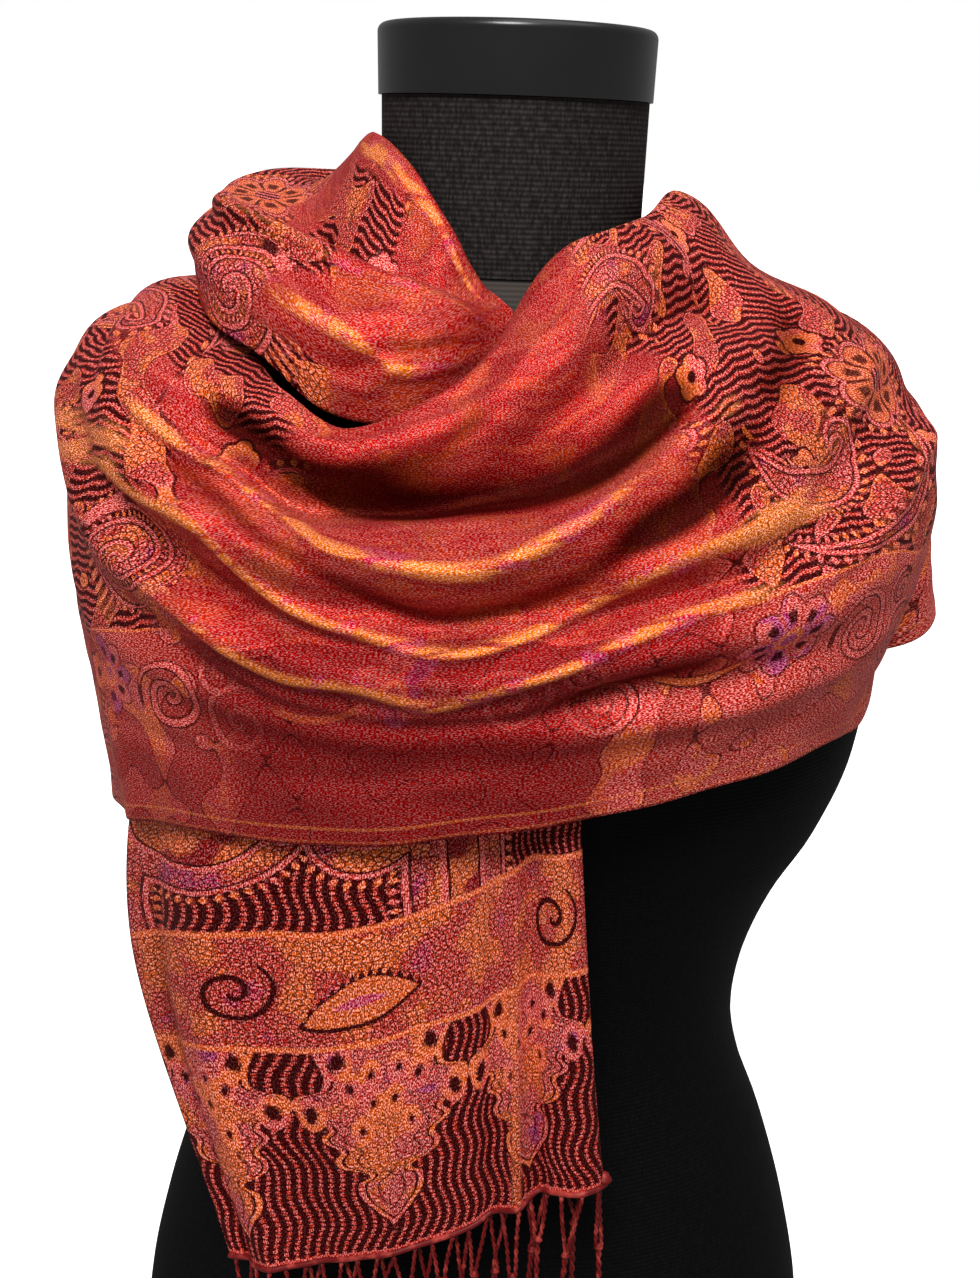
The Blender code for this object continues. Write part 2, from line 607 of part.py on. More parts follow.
def make_fringe(name, hem, count, finish):
    """A narrow strip just below a hem, given by its points, with the strands fused into it."""
    gap = Vector((0, 0, FRINGE_GAP))
    strip = Vector((0, 0, FRINGE_STRIP))
    lines = [[point - gap, point - gap - strip] for point in hem]
    fringe = thicken(placed(name, grid_mesh(name, lines), finish), WALL)
    model = bmesh.new()
    for i, (place, along) in enumerate(walk(hem, count)):
        inward = Vector((0, 0, 1)).cross(along).normalized()
        root = place - gap - strip / 2 + inward * (WALL / 2)
        sway = STRAND_SWAY * math.sin(2 * math.pi * i / STRANDS_IN_A_SWAY)
        length = FRINGE_LENGTH * (1 + FRINGE_UNEVENNESS * math.sin(i))
        strand(model, root, sway, length)
    mesh = bpy.data.meshes.new(name + "_strands")
    model.to_mesh(mesh)
    model.free()
    strands = bpy.data.objects.new(name + "_strands", mesh)
    strands.hide_render = True
    strands.display_type = "WIRE"
    helpers.objects.link(strands)
    join = fringe.modifiers.new("strands", "BOOLEAN")
    join.operation = "UNION"
    join.solver = "EXACT"
    join.object = strands


def new_collection(name):
    """An empty collection of the scene."""
    made = bpy.data.collections.new(name)
    bpy.context.scene.collection.children.link(made)
    return made


for old in list(bpy.data.objects):
    bpy.data.objects.remove(old)
parts = new_collection("silk_shawl_on_dress_form")
helpers = new_collection("strands_to_join")
stand = bpy.data.objects.new("shawl_and_form", None)
parts.objects.link(stand)

make_torso()
make_neck()
make_block()
make_cape()
make_band()
make_front_end()
make_back_end()
front_hem = [front_end_point(across, 1.0) for across in front_end_columns()]
make_fringe("fringe_front", front_hem, FRONT_STRANDS, material("front_fringe_silk", FRINGE_SILK, 0.5))
back_hem = [back_end_point(column, 2.0) for column in BACK_END_COLUMNS]
make_fringe("fringe_back", back_hem, BACK_STRANDS, material("back_fringe_silk", FRINGE_SILK, 0.5))
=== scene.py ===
"""Looks of a silk shawl wound about a limbless dress form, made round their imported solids.

The shawl is one long woven cloth. Each stretch of it that shows is a thin shell on its solid's form, with
finer folds, and all of them take their colours from one jacquard weave, laid out in millimetres along and
across the cloth. The fringes are twisted cords, and the form has a knit cover and a glossy neck block.
"""

import math
from collections import namedtuple

import bpy
import numpy as np
from bpy.props import FloatProperty, FloatVectorProperty, IntProperty, PointerProperty
from bpy.types import Operator, Panel, PropertyGroup
from mathutils import Matrix, Vector


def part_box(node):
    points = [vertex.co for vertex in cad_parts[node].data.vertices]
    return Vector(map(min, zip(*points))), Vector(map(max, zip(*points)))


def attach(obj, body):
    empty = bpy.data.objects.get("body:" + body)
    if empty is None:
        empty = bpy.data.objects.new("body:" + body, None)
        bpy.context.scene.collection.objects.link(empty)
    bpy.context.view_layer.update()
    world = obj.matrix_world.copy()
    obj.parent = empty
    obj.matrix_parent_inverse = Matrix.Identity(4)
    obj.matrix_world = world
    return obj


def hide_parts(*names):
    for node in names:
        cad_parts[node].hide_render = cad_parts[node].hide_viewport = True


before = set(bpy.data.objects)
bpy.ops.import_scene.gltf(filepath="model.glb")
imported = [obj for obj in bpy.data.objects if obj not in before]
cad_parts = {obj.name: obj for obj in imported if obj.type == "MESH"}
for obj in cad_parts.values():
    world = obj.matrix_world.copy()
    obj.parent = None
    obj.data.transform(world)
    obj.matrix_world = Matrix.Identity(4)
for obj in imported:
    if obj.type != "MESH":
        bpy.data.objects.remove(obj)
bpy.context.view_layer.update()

bl_info = {
    "name": "Silk Shawl on a Dress Form",
    "version": (1, 0, 0),
    "blender": (4, 5, 0),
    "location": "View3D > Sidebar > Shawl",
    "description": "Builds a draped silk shawl, its fringes and the dress form that carries it",
    "category": "Object",
}

# Sizes that the shawl's and the form's solids are made with, in metres
WALL = 0.0015
SEAM = 0.0003
REST_GAP = 0.0006
CLEARANCE = 0.0013
FRINGE_LENGTH = 0.085
TORSO_TOP = 0.614
NECK_RADIUS = 0.0550
NECK_LOW_RADIUS = 0.0540
BLOCK_RADIUS = 0.0570
BLOCK_ROUNDING = 0.0035
BLOCK_TAPER = 0.0006
BASE_CHAMFER = 0.004
CAPE_SOLID_COLUMNS = 64
CAPE_SOLID_ROWS = 25

# How finely each shell is divided, and how far apart points are taken to find which way a cloth faces
CAPE_COLUMNS = 352
CAPE_ROWS = 128
BAND_COLUMNS = 260
BAND_ROWS = 72
FRONT_END_ROWS = 130
PANEL_COLUMNS = 90
FOLD_COLUMNS = 46
RETURN_COLUMNS = 44
BACK_END_COLUMNS = 100
BACK_END_ROWS = 120
BACK_END_FREE_ROWS = 30
HEM_ROWS = 60
TORSO_COLUMNS = 120
TORSO_ROWS = 96
BLOCK_ROUNDING_STEPS = 10
SHARP_ANGLE = 40
NEAR_TURN = 0.5
NEAR_SHARE = 0.005

# Where each stretch lies on the one woven cloth: metres from an end, metres up from the lower selvage
CAPE_START = 1.05
CAPE_SPREAD = 0.158
CAPE_TAPER = 0.22
CAPE_TAPER_END = 0.3
BAND_START = 0.795
BAND_ACROSS = 0.337

# Soft-edged patches: how strong, from and to along the stretch and how soft there, and the same across it.
# The weave is a plain satin on the first ones. It is half plain on the next, but for the stripes. The neck
# band is a plain satin but for its bold ones. On the cape the first ones are partly painted light: the plain
# satin stands in for sheen that hides the figures on the chest, and it darkens the lower border as painted
# shade.
CAPE_SATIN_AND_SHEEN = (
    (1.0, -46, 31, 12, 0.26, 0.72, 0.10),
    (1.0, -46, 20, 30, 0.62, 1.10, 0.10),
    (0.8, -80, -20, 20, 0.84, 1.10, 0.10),
    (1.0, -34, 20, 12, -0.10, 0.72, 0.10),
)
CAPE_HALF_SATIN = ((0.5, -82, -30, 12, 0.22, 1.10, 0.06),)
CAPE_STRIPES = ((1.0, -95, -50, 8, 0.30, 0.72, 0.06),)
BAND_BOLD = (
    (1.0, 89, 270, 10, -1.0, 2.0, 0.10),
    (1.0, 38, 70, 6, 0.16, 0.38, 0.08),
    (1.0, 44, 66, 6, 0.52, 0.64, 0.06),
    (1.0, 38, 66, 6, 0.84, 1.10, 0.06),
    (1.0, 54, 100, 6, 0.38, 0.95, 0.10),
)

# The fringe's knots and cords: places as shares of its pitch and length, sizes as shares of a cord's radius,
# how far the cords shift, sway and begin below the hem, in metres, and their rings and sides
PAIR_SPREAD = 0.28
JOINT_SPREAD = 0.6
CORD_LENGTHS = (0.88, 1.08)
KNOT_PLACES = (0.22, 0.42)
CORD_SHIFT = 0.0022
CORD_DROP = 0.0015
UPPER_SWAY = 0.0006
LOWER_SWAY = 0.002
UPPER_SIZE = 0.8
LOWER_TWIST = 1.3
WELT_SIZE = 1.35
CORNER_KNOT_SIZE = 3.0
JOINT_KNOT_SIZE = 1.7
FOOT_KNOT_SIZE = 1.5
KNOT_WAIST = 0.16
KNOT_HEIGHT = 1.15
KNOT_NECK = 0.2
YARN_OFF = 0.62
YARN_RADIUS = 0.72
TIPS = 5
TIP_LENGTHS = (0.008, 0.014)
TIP_SPREAD = 0.0018
TIP_SWAY = 0.0005
TIP_SIZES = (0.4, 0.15)
UPPER_RINGS = 16
LOWER_RINGS = 30
KNOT_RINGS = 9
TIP_RINGS = 6
YARN_SIDES = 6
ROUND_SIDES = 10
TIP_SIDES = 4
FRONT_SEED = 11
BACK_SEED = 12

# The weave, in millimetres: its threads, stripes, beads, border, end panel and repeats
THREAD = 0.6
PALETTE = ("Dark", "Crimson", "Coral", "Orange", "Pink", "Violet", "Gold", "Ember")
STRIPE_PITCH = 3.8
BEAD_PITCH = 4.0
BORDER = 86.0
END_LENGTH = 270.0
END_PITCH = 127.0
FIELD_LENGTH = 140.0
FIELD_WIDTH = 118.0
# A sprig's strokes: place in its cell, turn, bend, half width and half turn
SPRIG = (
    (5.0, 22.0, -1.57, 26.0, 6.5, 1.5),
    (24.0, 13.0, 0.6, 7.0, 3.0, 2.6),
    (14.0, 28.0, -1.10, 58.0, 2.6, 0.88),
)
# The border's scrolls: place along and across, reach, pitch and which way they wind
BORDER_SCROLLS = (
    (1196.0, 57.0, 16.0, 9.0, 1.0),
    (1222.0, 70.0, 9.0, 6.0, -1.0),
    (1090.0, 50.0, 15.0, 9.0, -1.0),
)

# A finial's half width at heights above the hem, the eyes of its scrolls, and the discs above the end panel
FINIAL = (
    (0.0, -4.0), (12.0, 0.0), (20.0, 7.0), (29.0, 12.5), (34.0, 12.0), (38.0, 8.0), (41.0, 14.0),
    (46.0, 19.0), (51.0, 17.0), (57.0, 23.0), (61.0, 20.5), (65.0, 25.0), (70.0, 32.0), (75.0, 31.0),
    (80.0, 21.0), (86.0, 20.0), (92.0, 22.0), (100.0, 25.0),
)
FINIAL_HEIGHT = 100.0
FINIAL_WIDTH = 40.0
FINIAL_PITCH = 64.0
FINIAL_EYES = (
    (68.0, 26.0, 2.0), (91.0, 16.0, 2.0), (79.0, 12.0, 1.2), (72.0, 4.0, 1.1), (84.0, 5.0, 1.0),
    (60.0, 9.0, 1.0),
)
END_DISCS = ((188.0, 82.0, 21.0), (202.0, 27.0, 38.0))

# The knit cover's darker and lighter black, on the torso and on the neck, which shows its stretched stitches.
# The lighter black is partly the stretched knit's own colour and partly painted sheen.
TORSO_BLACKS = ((0.0006, 0.0005, 0.0007, 1.0), (0.0035, 0.0030, 0.0036, 1.0))
NECK_BLACKS = ((0.0110, 0.0095, 0.0090, 1.0), (0.0480, 0.0425, 0.0400, 1.0))
BLOCK_BLACKS = ((0.006, 0.006, 0.0065, 1.0), (0.010, 0.010, 0.0105, 1.0))
RIB_PITCH = 0.0020
COLLAR_UP = 0.598
COLLAR_EDGE = 0.0006
COLLAR_GREY = (0.055, 0.046, 0.040, 1.0)
BLACK = (0.0, 0.0, 0.0, 1.0)
WHITE = (1.0, 1.0, 1.0, 1.0)

# The photo's camera
PHOTO_HEIGHT = 1278
FOCAL_PIXELS = 1590
SHIFT_PIXELS = -2.0
SENSOR = 36.0
CAMERA_PITCH = math.radians(17.4)
CAMERA_ROLL = math.radians(2.0)
EYE = Vector((-0.002, -0.690, 0.666))

# The two lights: which way they shine, and how wide they look, in degrees
KEY_WAY = (0.12, 0.77, -0.93)
KEY_SPREAD = 20.0
TOP_WAY = (-0.25, 0.10, -1.0)
TOP_SPREAD = 50.0

# The torso's level sections: half its width, its depth before and behind the axis, and how square it is
Section = namedtuple("Section", "up half_width front back square")
TORSO = [
    Section(0.000, 0.158, 0.101, 0.106, 2.2),
    Section(0.060, 0.167, 0.107, 0.114, 2.2),
    Section(0.110, 0.165, 0.106, 0.112, 2.2),
    Section(0.160, 0.155, 0.102, 0.104, 2.1),
    Section(0.210, 0.1395, 0.096, 0.092, 2.1),
    Section(0.245, 0.1255, 0.090, 0.083, 2.1),
    Section(0.275, 0.1195, 0.087, 0.079, 2.1),
    Section(0.310, 0.123, 0.091, 0.080, 2.1),
    Section(0.345, 0.135, 0.100, 0.086, 2.1),
    Section(0.375, 0.151, 0.107, 0.091, 2.15),
    Section(0.410, 0.163, 0.115, 0.096, 2.15),
    Section(0.450, 0.167, 0.117, 0.099, 2.15),
    Section(0.485, 0.167, 0.111, 0.103, 2.2),
    Section(0.520, 0.167, 0.095, 0.105, 2.3),
    Section(0.552, 0.162, 0.077, 0.103, 2.3),
    Section(0.575, 0.147, 0.067, 0.097, 2.2),
    Section(0.590, 0.118, 0.061, 0.085, 2.1),
    Section(0.602, 0.082, 0.058, 0.070, 2.0),
    Section(0.614, 0.0560, 0.0555, 0.0560, 2.0),
]

# The cape's cut, all round: angle is 0 at the front and grows towards +X, "out" is the reach from the axis.
# The lip is the edge tucked inside the neck opening, the crest its top, and the hem the lower selvage.
Meridian = namedtuple(
    "Meridian",
    "angle lip_in lip_down crest_out crest_up brow_out brow_up chest_out chest_up hem_out hem_up",
)
CAPE = [
    Meridian(-180, 0.010, 0.001, 0.086, 0.607, 0.110, 0.590, 0.114, 0.532, 0.134, 0.402),
    Meridian(-155, 0.010, 0.001, 0.088, 0.606, 0.128, 0.591, 0.132, 0.532, 0.150, 0.394),
    Meridian(-130, 0.010, 0.002, 0.092, 0.605, 0.149, 0.595, 0.162, 0.530, 0.170, 0.386),
    Meridian(-110, 0.010, 0.002, 0.098, 0.604, 0.163, 0.598, 0.184, 0.535, 0.182, 0.378),
    Meridian(-90, 0.010, 0.002, 0.104, 0.606, 0.165, 0.600, 0.189, 0.530, 0.177, 0.372),
    Meridian(-76, 0.010, 0.003, 0.108, 0.599, 0.164, 0.593, 0.186, 0.528, 0.169, 0.379),
    Meridian(-62, 0.010, 0.006, 0.116, 0.587, 0.162, 0.578, 0.181, 0.522, 0.164, 0.390),
    Meridian(-50, 0.010, 0.012, 0.122, 0.578, 0.156, 0.563, 0.173, 0.516, 0.163, 0.399),
    Meridian(-42, 0.010, 0.018, 0.124, 0.573, 0.151, 0.557, 0.168, 0.513, 0.160, 0.403),
    Meridian(-30, 0.010, 0.022, 0.118, 0.562, 0.143, 0.547, 0.162, 0.508, 0.155, 0.407),
    Meridian(-16, 0.010, 0.022, 0.101, 0.573, 0.132, 0.553, 0.157, 0.508, 0.153, 0.413),
    Meridian(-5, 0.010, 0.022, 0.086, 0.589, 0.123, 0.563, 0.155, 0.510, 0.151, 0.419),
    Meridian(6, 0.009, 0.022, 0.072, 0.613, 0.116, 0.574, 0.155, 0.514, 0.150, 0.423),
    Meridian(18, 0.008, 0.022, 0.069, 0.628, 0.114, 0.585, 0.158, 0.518, 0.150, 0.428),
    Meridian(36, 0.007, 0.020, 0.068, 0.635, 0.116, 0.595, 0.167, 0.520, 0.156, 0.435),
    Meridian(56, 0.006, 0.019, 0.068, 0.640, 0.136, 0.592, 0.177, 0.523, 0.161, 0.438),
    Meridian(74, 0.007, 0.019, 0.069, 0.647, 0.155, 0.591, 0.184, 0.533, 0.164, 0.433),
    Meridian(94, 0.009, 0.019, 0.071, 0.647, 0.161, 0.589, 0.188, 0.533, 0.201, 0.461),
    Meridian(110, 0.009, 0.017, 0.074, 0.641, 0.158, 0.588, 0.183, 0.533, 0.198, 0.446),
    Meridian(124, 0.008, 0.012, 0.080, 0.630, 0.148, 0.587, 0.168, 0.532, 0.182, 0.424),
    Meridian(138, 0.009, 0.004, 0.086, 0.614, 0.130, 0.591, 0.146, 0.532, 0.168, 0.414),
    Meridian(158, 0.010, 0.002, 0.086, 0.610, 0.116, 0.590, 0.122, 0.532, 0.146, 0.407),
]
LIP, CREST, BROW, CHEST, HEM = 0.0, 0.09, 0.28, 0.52, 1.0

# Swags run along a stretch from start to end, in degrees, at these shares of its way across.
# Their height is off the cloth's plain form, a minus one is a trough, and spread is half a fold's width.
Swag = namedtuple("Swag", "start end start_drop middle_drop end_drop height spread")
SOFT_END = 0.3
CAPE_LENGTH_DOWN = 0.30
CAPE_SWAGS = [
    Swag(-60, 36, 0.30, 0.330, 0.34, -0.0140, 0.015),
    Swag(-86, 56, 0.28, 0.465, 0.34, 0.0090, 0.014),
    Swag(-86, 60, 0.37, 0.560, 0.44, -0.0070, 0.014),
    Swag(-88, 66, 0.44, 0.650, 0.53, 0.0065, 0.014),
    Swag(-86, 70, 0.53, 0.725, 0.62, -0.0045, 0.013),
    Swag(-84, 76, 0.62, 0.790, 0.70, 0.0045, 0.014),
    Swag(6, 70, 0.30, 0.225, 0.19, -0.0110, 0.013),
    Swag(28, 92, 0.50, 0.380, 0.31, -0.0085, 0.014),
    Swag(56, 126, 0.12, 0.115, 0.12, 0.0020, 0.009),
    Swag(58, 124, 0.18, 0.170, 0.18, -0.0095, 0.013),
    Swag(-128, -66, 0.34, 0.270, 0.36, -0.0070, 0.014),
    Swag(-132, -60, 0.46, 0.410, 0.50, 0.0055, 0.015),
    Swag(118, 212, 0.40, 0.560, 0.40, 0.0060, 0.018),
    Swag(118, 212, 0.56, 0.740, 0.56, 0.0060, 0.018),
]

# Flutes run down the cape and open towards the hem, measured at the cape's usual reach
Flute = namedtuple("Flute", "angle lean top height spread")
FLUTE_REACH = 0.17
FLUTES = [
    Flute(87, -5, 0.50, -0.032, 0.015),
    Flute(102, 1, 0.55, 0.010, 0.018),
    Flute(128, 4, 0.42, -0.010, 0.018),
    Flute(150, 0, 0.45, 0.009, 0.020),
    Flute(172, 0, 0.50, -0.008, 0.018),
    Flute(-166, 0, 0.46, 0.010, 0.020),
    Flute(-140, -4, 0.44, -0.009, 0.018),
    Flute(-112, -4, 0.45, 0.007, 0.020),
    Flute(-70, 6, 0.62, 0.005, 0.016),
]

# The neck band's sections: turn is degrees from the front, round the left and the back of the neck
Band = namedtuple(
    "Band",
    "turn inner_out inner_up ridge_out ridge_up valley_out valley_up "
    "roll_out roll_up face_out face_up edge_out edge_up",
)
BAND = [
    Band(-2, 0.0608, 0.603, 0.0614, 0.6015, 0.0620, 0.5985, 0.0627, 0.5955, 0.0635, 0.592, 0.0645, 0.588),
    Band(6, 0.0600, 0.6095, 0.0616, 0.6080, 0.0645, 0.604, 0.0682, 0.600, 0.0725, 0.5935, 0.075, 0.583),
    Band(14, 0.0570, 0.614, 0.0615, 0.619, 0.069, 0.607, 0.077, 0.609, 0.090, 0.594, 0.090, 0.571),
    Band(22, 0.0560, 0.624, 0.0605, 0.632, 0.071, 0.608, 0.082, 0.613, 0.101, 0.590, 0.101, 0.563),
    Band(38, 0.0550, 0.643, 0.0600, 0.651, 0.076, 0.615, 0.090, 0.619, 0.112, 0.591, 0.112, 0.566),
    Band(50, 0.0550, 0.653, 0.0600, 0.660, 0.080, 0.622, 0.098, 0.625, 0.120, 0.599, 0.122, 0.584),
    Band(62, 0.0550, 0.658, 0.0600, 0.665, 0.083, 0.628, 0.107, 0.631, 0.126, 0.609, 0.129, 0.593),
    Band(76, 0.0550, 0.660, 0.0610, 0.667, 0.085, 0.633, 0.118, 0.638, 0.130, 0.620, 0.130, 0.601),
    Band(90, 0.0550, 0.655, 0.0620, 0.663, 0.088, 0.640, 0.121, 0.642, 0.132, 0.624, 0.131, 0.6075),
    Band(112, 0.0550, 0.648, 0.0660, 0.656, 0.092, 0.646, 0.123, 0.647, 0.133, 0.627, 0.132, 0.6085),
    Band(135, 0.0550, 0.642, 0.0690, 0.651, 0.087, 0.643, 0.106, 0.648, 0.121, 0.630, 0.125, 0.6090),
    Band(160, 0.0550, 0.637, 0.0680, 0.646, 0.081, 0.638, 0.097, 0.643, 0.113, 0.626, 0.117, 0.6090),
    Band(180, 0.0550, 0.634, 0.0660, 0.643, 0.077, 0.635, 0.091, 0.640, 0.105, 0.624, 0.109, 0.6090),
    Band(205, 0.0550, 0.632, 0.0640, 0.641, 0.073, 0.634, 0.084, 0.638, 0.096, 0.624, 0.100, 0.610),
    Band(222, 0.0550, 0.631, 0.0610, 0.640, 0.067, 0.636, 0.074, 0.636, 0.082, 0.627, 0.086, 0.620),
    Band(236, 0.0575, 0.6355, 0.0600, 0.637, 0.0630, 0.634, 0.0648, 0.630, 0.066, 0.625, 0.067, 0.619),
    Band(250, 0.0590, 0.635, 0.0597, 0.6335, 0.0605, 0.6305, 0.0612, 0.627, 0.0618, 0.622, 0.0623, 0.617),
]
INNER, RIDGE, VALLEY, ROLL, FACE, EDGE = 0.0, 0.10, 0.32, 0.55, 0.80, 1.0
BAND_WIDTH = 0.10
BAND_SWAGS = [
    Swag(8, 118, 0.60, 0.665, 0.64, -0.0035, 0.008),
    Swag(12, 128, 0.72, 0.790, 0.76, 0.0035, 0.009),
    Swag(96, 214, 0.44, 0.480, 0.46, 0.0030, 0.008),
    Swag(104, 222, 0.62, 0.690, 0.66, -0.0040, 0.008),
    Swag(110, 216, 0.78, 0.830, 0.80, 0.0030, 0.009),
]

# The front end is folded in two: rails across it, from its left edge round the right fold and back behind
Rail = namedtuple("Rail", "across top_x top_y top_up bend_x bend_y bend_up hem_x hem_y hem_up")
FRONT_END = [
    Rail(0.00, -0.141, -0.060, 0.470, -0.160, -0.050, 0.322, -0.105, -0.120, 0.207),
    Rail(0.11, -0.118, -0.094, 0.476, -0.122, -0.106, 0.320, -0.088, -0.134, 0.213),
    Rail(0.25, -0.064, -0.122, 0.486, -0.062, -0.141, 0.325, -0.050, -0.143, 0.226),
    Rail(0.38, -0.016, -0.126, 0.494, -0.012, -0.141, 0.330, -0.010, -0.144, 0.240),
    Rail(0.47, 0.011, -0.125, 0.498, 0.018, -0.136, 0.335, 0.024, -0.139, 0.257),
    Rail(0.53, 0.022, -0.127, 0.500, 0.033, -0.142, 0.338, 0.041, -0.145, 0.262),
    Rail(0.57, 0.027, -0.124, 0.500, 0.042, -0.137, 0.338, 0.051, -0.139, 0.263),
    Rail(0.61, 0.021, -0.119, 0.500, 0.036, -0.129, 0.338, 0.045, -0.130, 0.263),
    Rail(0.67, 0.002, -0.1205, 0.497, 0.012, -0.1325, 0.335, 0.018, -0.1345, 0.257),
    Rail(0.78, -0.030, -0.1200, 0.493, -0.022, -0.1355, 0.330, -0.018, -0.1385, 0.241),
    Rail(1.00, -0.088, -0.1060, 0.480, -0.080, -0.1270, 0.324, -0.074, -0.1345, 0.222),
]
BEND_SHARE = 0.58
FOLD_START = 0.49
FOLD_END = 0.65

# The back end lies on the cape behind the left shoulder and hangs below its hem
BACK_END_FIRST_COLUMN = -2
BACK_END_LAST_COLUMN = 12
BACK_END_FIRST_ROW = 4
BACK_END_UP = 0.315
BACK_END_SLOPE = 0.030
BACK_END_GATHER = 0.94

# Finer folds than the solids carry, in the same form as their own
FINE_CAPE_SWAGS = [
    Swag(-40, 14, 0.10, 0.135, 0.12, 0.0018, 0.006),
    Swag(-96, 30, 0.76, 0.865, 0.80, -0.0012, 0.007),
    Swag(48, 118, 0.34, 0.245, 0.20, -0.0026, 0.006),
    Swag(60, 132, 0.44, 0.330, 0.34, -0.0022, 0.008),
    Swag(-118, -50, 0.22, 0.300, 0.44, -0.0030, 0.007),
    Swag(-124, -58, 0.40, 0.350, 0.42, 0.0022, 0.007),
    Swag(-126, -54, 0.56, 0.520, 0.60, -0.0024, 0.008),
    Swag(116, 208, 0.30, 0.440, 0.30, -0.0026, 0.009),
    Swag(112, 216, 0.48, 0.660, 0.48, -0.0026, 0.009),
    Swag(122, 204, 0.66, 0.830, 0.66, 0.0024, 0.010),
]
# The chest's creases: height off the cloth, half a crease's width, how strongly they paint light, which is a
# painted highlight above zero and painted shade below zero, and its places as pairs of an angle and a share
# of the way down. Rows without height only paint highlights or shade.
Crease = namedtuple("Crease", "height spread shine places")
CREASES = [
    Crease(0.0018, 0.0060, 0.35, (
        (-62, 0.20), (-44, 0.18), (-30, 0.19), (-16, 0.204), (0, 0.234), (12, 0.234), (34, 0.18),
    )),
    Crease(-0.0060, 0.0110, -1.6, (
        (-56, 0.210), (-44, 0.225), (-32, 0.250), (-25, 0.288), (-18, 0.315), (-10, 0.338), (-2, 0.354),
        (6, 0.362), (15, 0.360), (25, 0.341), (40, 0.31),
    )),
    Crease(0.0042, 0.0060, 1.0, (
        (-66, 0.32), (-55, 0.331), (-43, 0.335), (-32, 0.362), (-23, 0.428), (-12, 0.464), (-1, 0.478),
        (11, 0.438), (20, 0.397), (30, 0.365), (50, 0.33),
    )),
    Crease(-0.0030, 0.0065, -0.75, (
        (-64, 0.33), (-53, 0.350), (-41, 0.383), (-32, 0.424), (-25, 0.460), (-18, 0.501), (-8, 0.547),
        (3, 0.530), (10, 0.503), (18, 0.463), (26, 0.437), (34, 0.407), (44, 0.39),
    )),
    # This row has no height and only paints a broad gold highlight.
    Crease(0.0, 0.0160, 0.8, ((-94, 0.46), (-74, 0.45), (-62, 0.42), (-54, 0.36), (-46, 0.31))),
    Crease(0.0060, 0.0100, 0.0, ((-48, 0.47), (-38, 0.51), (-28, 0.545), (-18, 0.565), (-8, 0.575))),
    Crease(0.0036, 0.0060, 0.9, (
        (-68, 0.44), (-54, 0.443), (-41, 0.450), (-33, 0.505), (-27, 0.547), (-18, 0.578), (-7, 0.606),
        (3, 0.590), (10, 0.560), (18, 0.518), (28, 0.480), (44, 0.450), (56, 0.44),
    )),
    Crease(-0.0022, 0.0060, -0.5, (
        (-60, 0.53), (-47, 0.533), (-36, 0.575), (-27, 0.605), (-17, 0.625), (-8, 0.642), (2, 0.630),
        (10, 0.602), (18, 0.561), (26, 0.530), (40, 0.50),
    )),
    Crease(0.0032, 0.0065, 0.85, (
        (-56, 0.56), (-43, 0.593), (-35, 0.640), (-27, 0.670), (-18, 0.672), (-8, 0.703), (2, 0.670),
        (9, 0.640), (18, 0.600), (28, 0.565), (44, 0.53),
    )),
    Crease(0.0058, 0.0100, 0.1, ((-48, 0.64), (-28, 0.705), (-10, 0.725), (4, 0.722), (14, 0.70))),
    Crease(-0.0018, 0.0075, -0.9, ((2, 0.735), (14, 0.710), (22, 0.680), (34, 0.640))),
    Crease(-0.0030, 0.0130, -0.45, (
        (-58, 0.75), (-40, 0.775), (-26, 0.792), (-10, 0.806), (4, 0.800), (16, 0.785),
    )),
    Crease(-0.0060, 0.0085, -0.9, (
        (72, 0.19), (60, 0.248), (45, 0.337), (36, 0.389), (26, 0.431), (10, 0.47),
    )),
    Crease(0.0030, 0.0070, 0.45, ((78, 0.26), (66, 0.32), (50, 0.40), (40, 0.455), (26, 0.50))),
    Crease(0.0020, 0.0060, 0.4, ((54, 0.12), (36, 0.160), (12, 0.202), (-6, 0.216))),
    Crease(-0.0030, 0.0065, -0.6, ((62, 0.17), (47, 0.196), (24, 0.242), (10, 0.275), (-6, 0.30))),
    Crease(0.0026, 0.0060, 0.4, ((84, 0.40), (66, 0.45), (50, 0.52), (34, 0.58))),
    # This row has no height and only paints shade below the knot at the front.
    Crease(0.0, 0.0100, -0.85, (
        (-34, 0.225), (-24, 0.246), (-17, 0.252), (-11, 0.250), (-4, 0.240), (6, 0.225),
    )),
]
BAND_CREASES = [
    Crease(0.0018, 0.0060, 0.50, ((0, 0.70), (4, 0.684), (22, 0.591), (44, 0.579), (61, 0.546), (96, 0.62))),
    Crease(0.0022, 0.0042, 0.95, ((14, 0.88), (26, 0.827), (36, 0.764), (50, 0.727), (64, 0.69))),
    Crease(-0.0036, 0.0070, -0.65, ((2, 0.52), (16, 0.47), (36, 0.44), (56, 0.36), (74, 0.30))),
    Crease(0.0006, 0.0038, 1.05, ((2, 0.34), (14, 0.22), (26, 0.145), (43, 0.140), (70, 0.135), (90, 0.12))),
    Crease(0.0026, 0.0040, 0.50, ((4, 0.92), (13, 0.900), (24, 0.870), (30, 0.920), (40, 0.93))),
    Crease(-0.0022, 0.0040, -0.55, ((4, 0.84), (13, 0.820), (24, 0.805), (34, 0.86), (44, 0.90))),
]
CREASE_FADE = 12.0
UNDER_CREST = 0.62
FINE_BAND_SWAGS = [
    Swag(10, 120, 0.655, 0.720, 0.70, 0.0016, 0.0045),
    Swag(16, 110, 0.80, 0.865, 0.86, -0.0018, 0.005),
    Swag(30, 132, 0.50, 0.545, 0.50, 0.0014, 0.004),
    Swag(100, 212, 0.54, 0.580, 0.55, 0.0016, 0.0045),
    Swag(108, 214, 0.70, 0.750, 0.72, 0.0015, 0.0045),
]
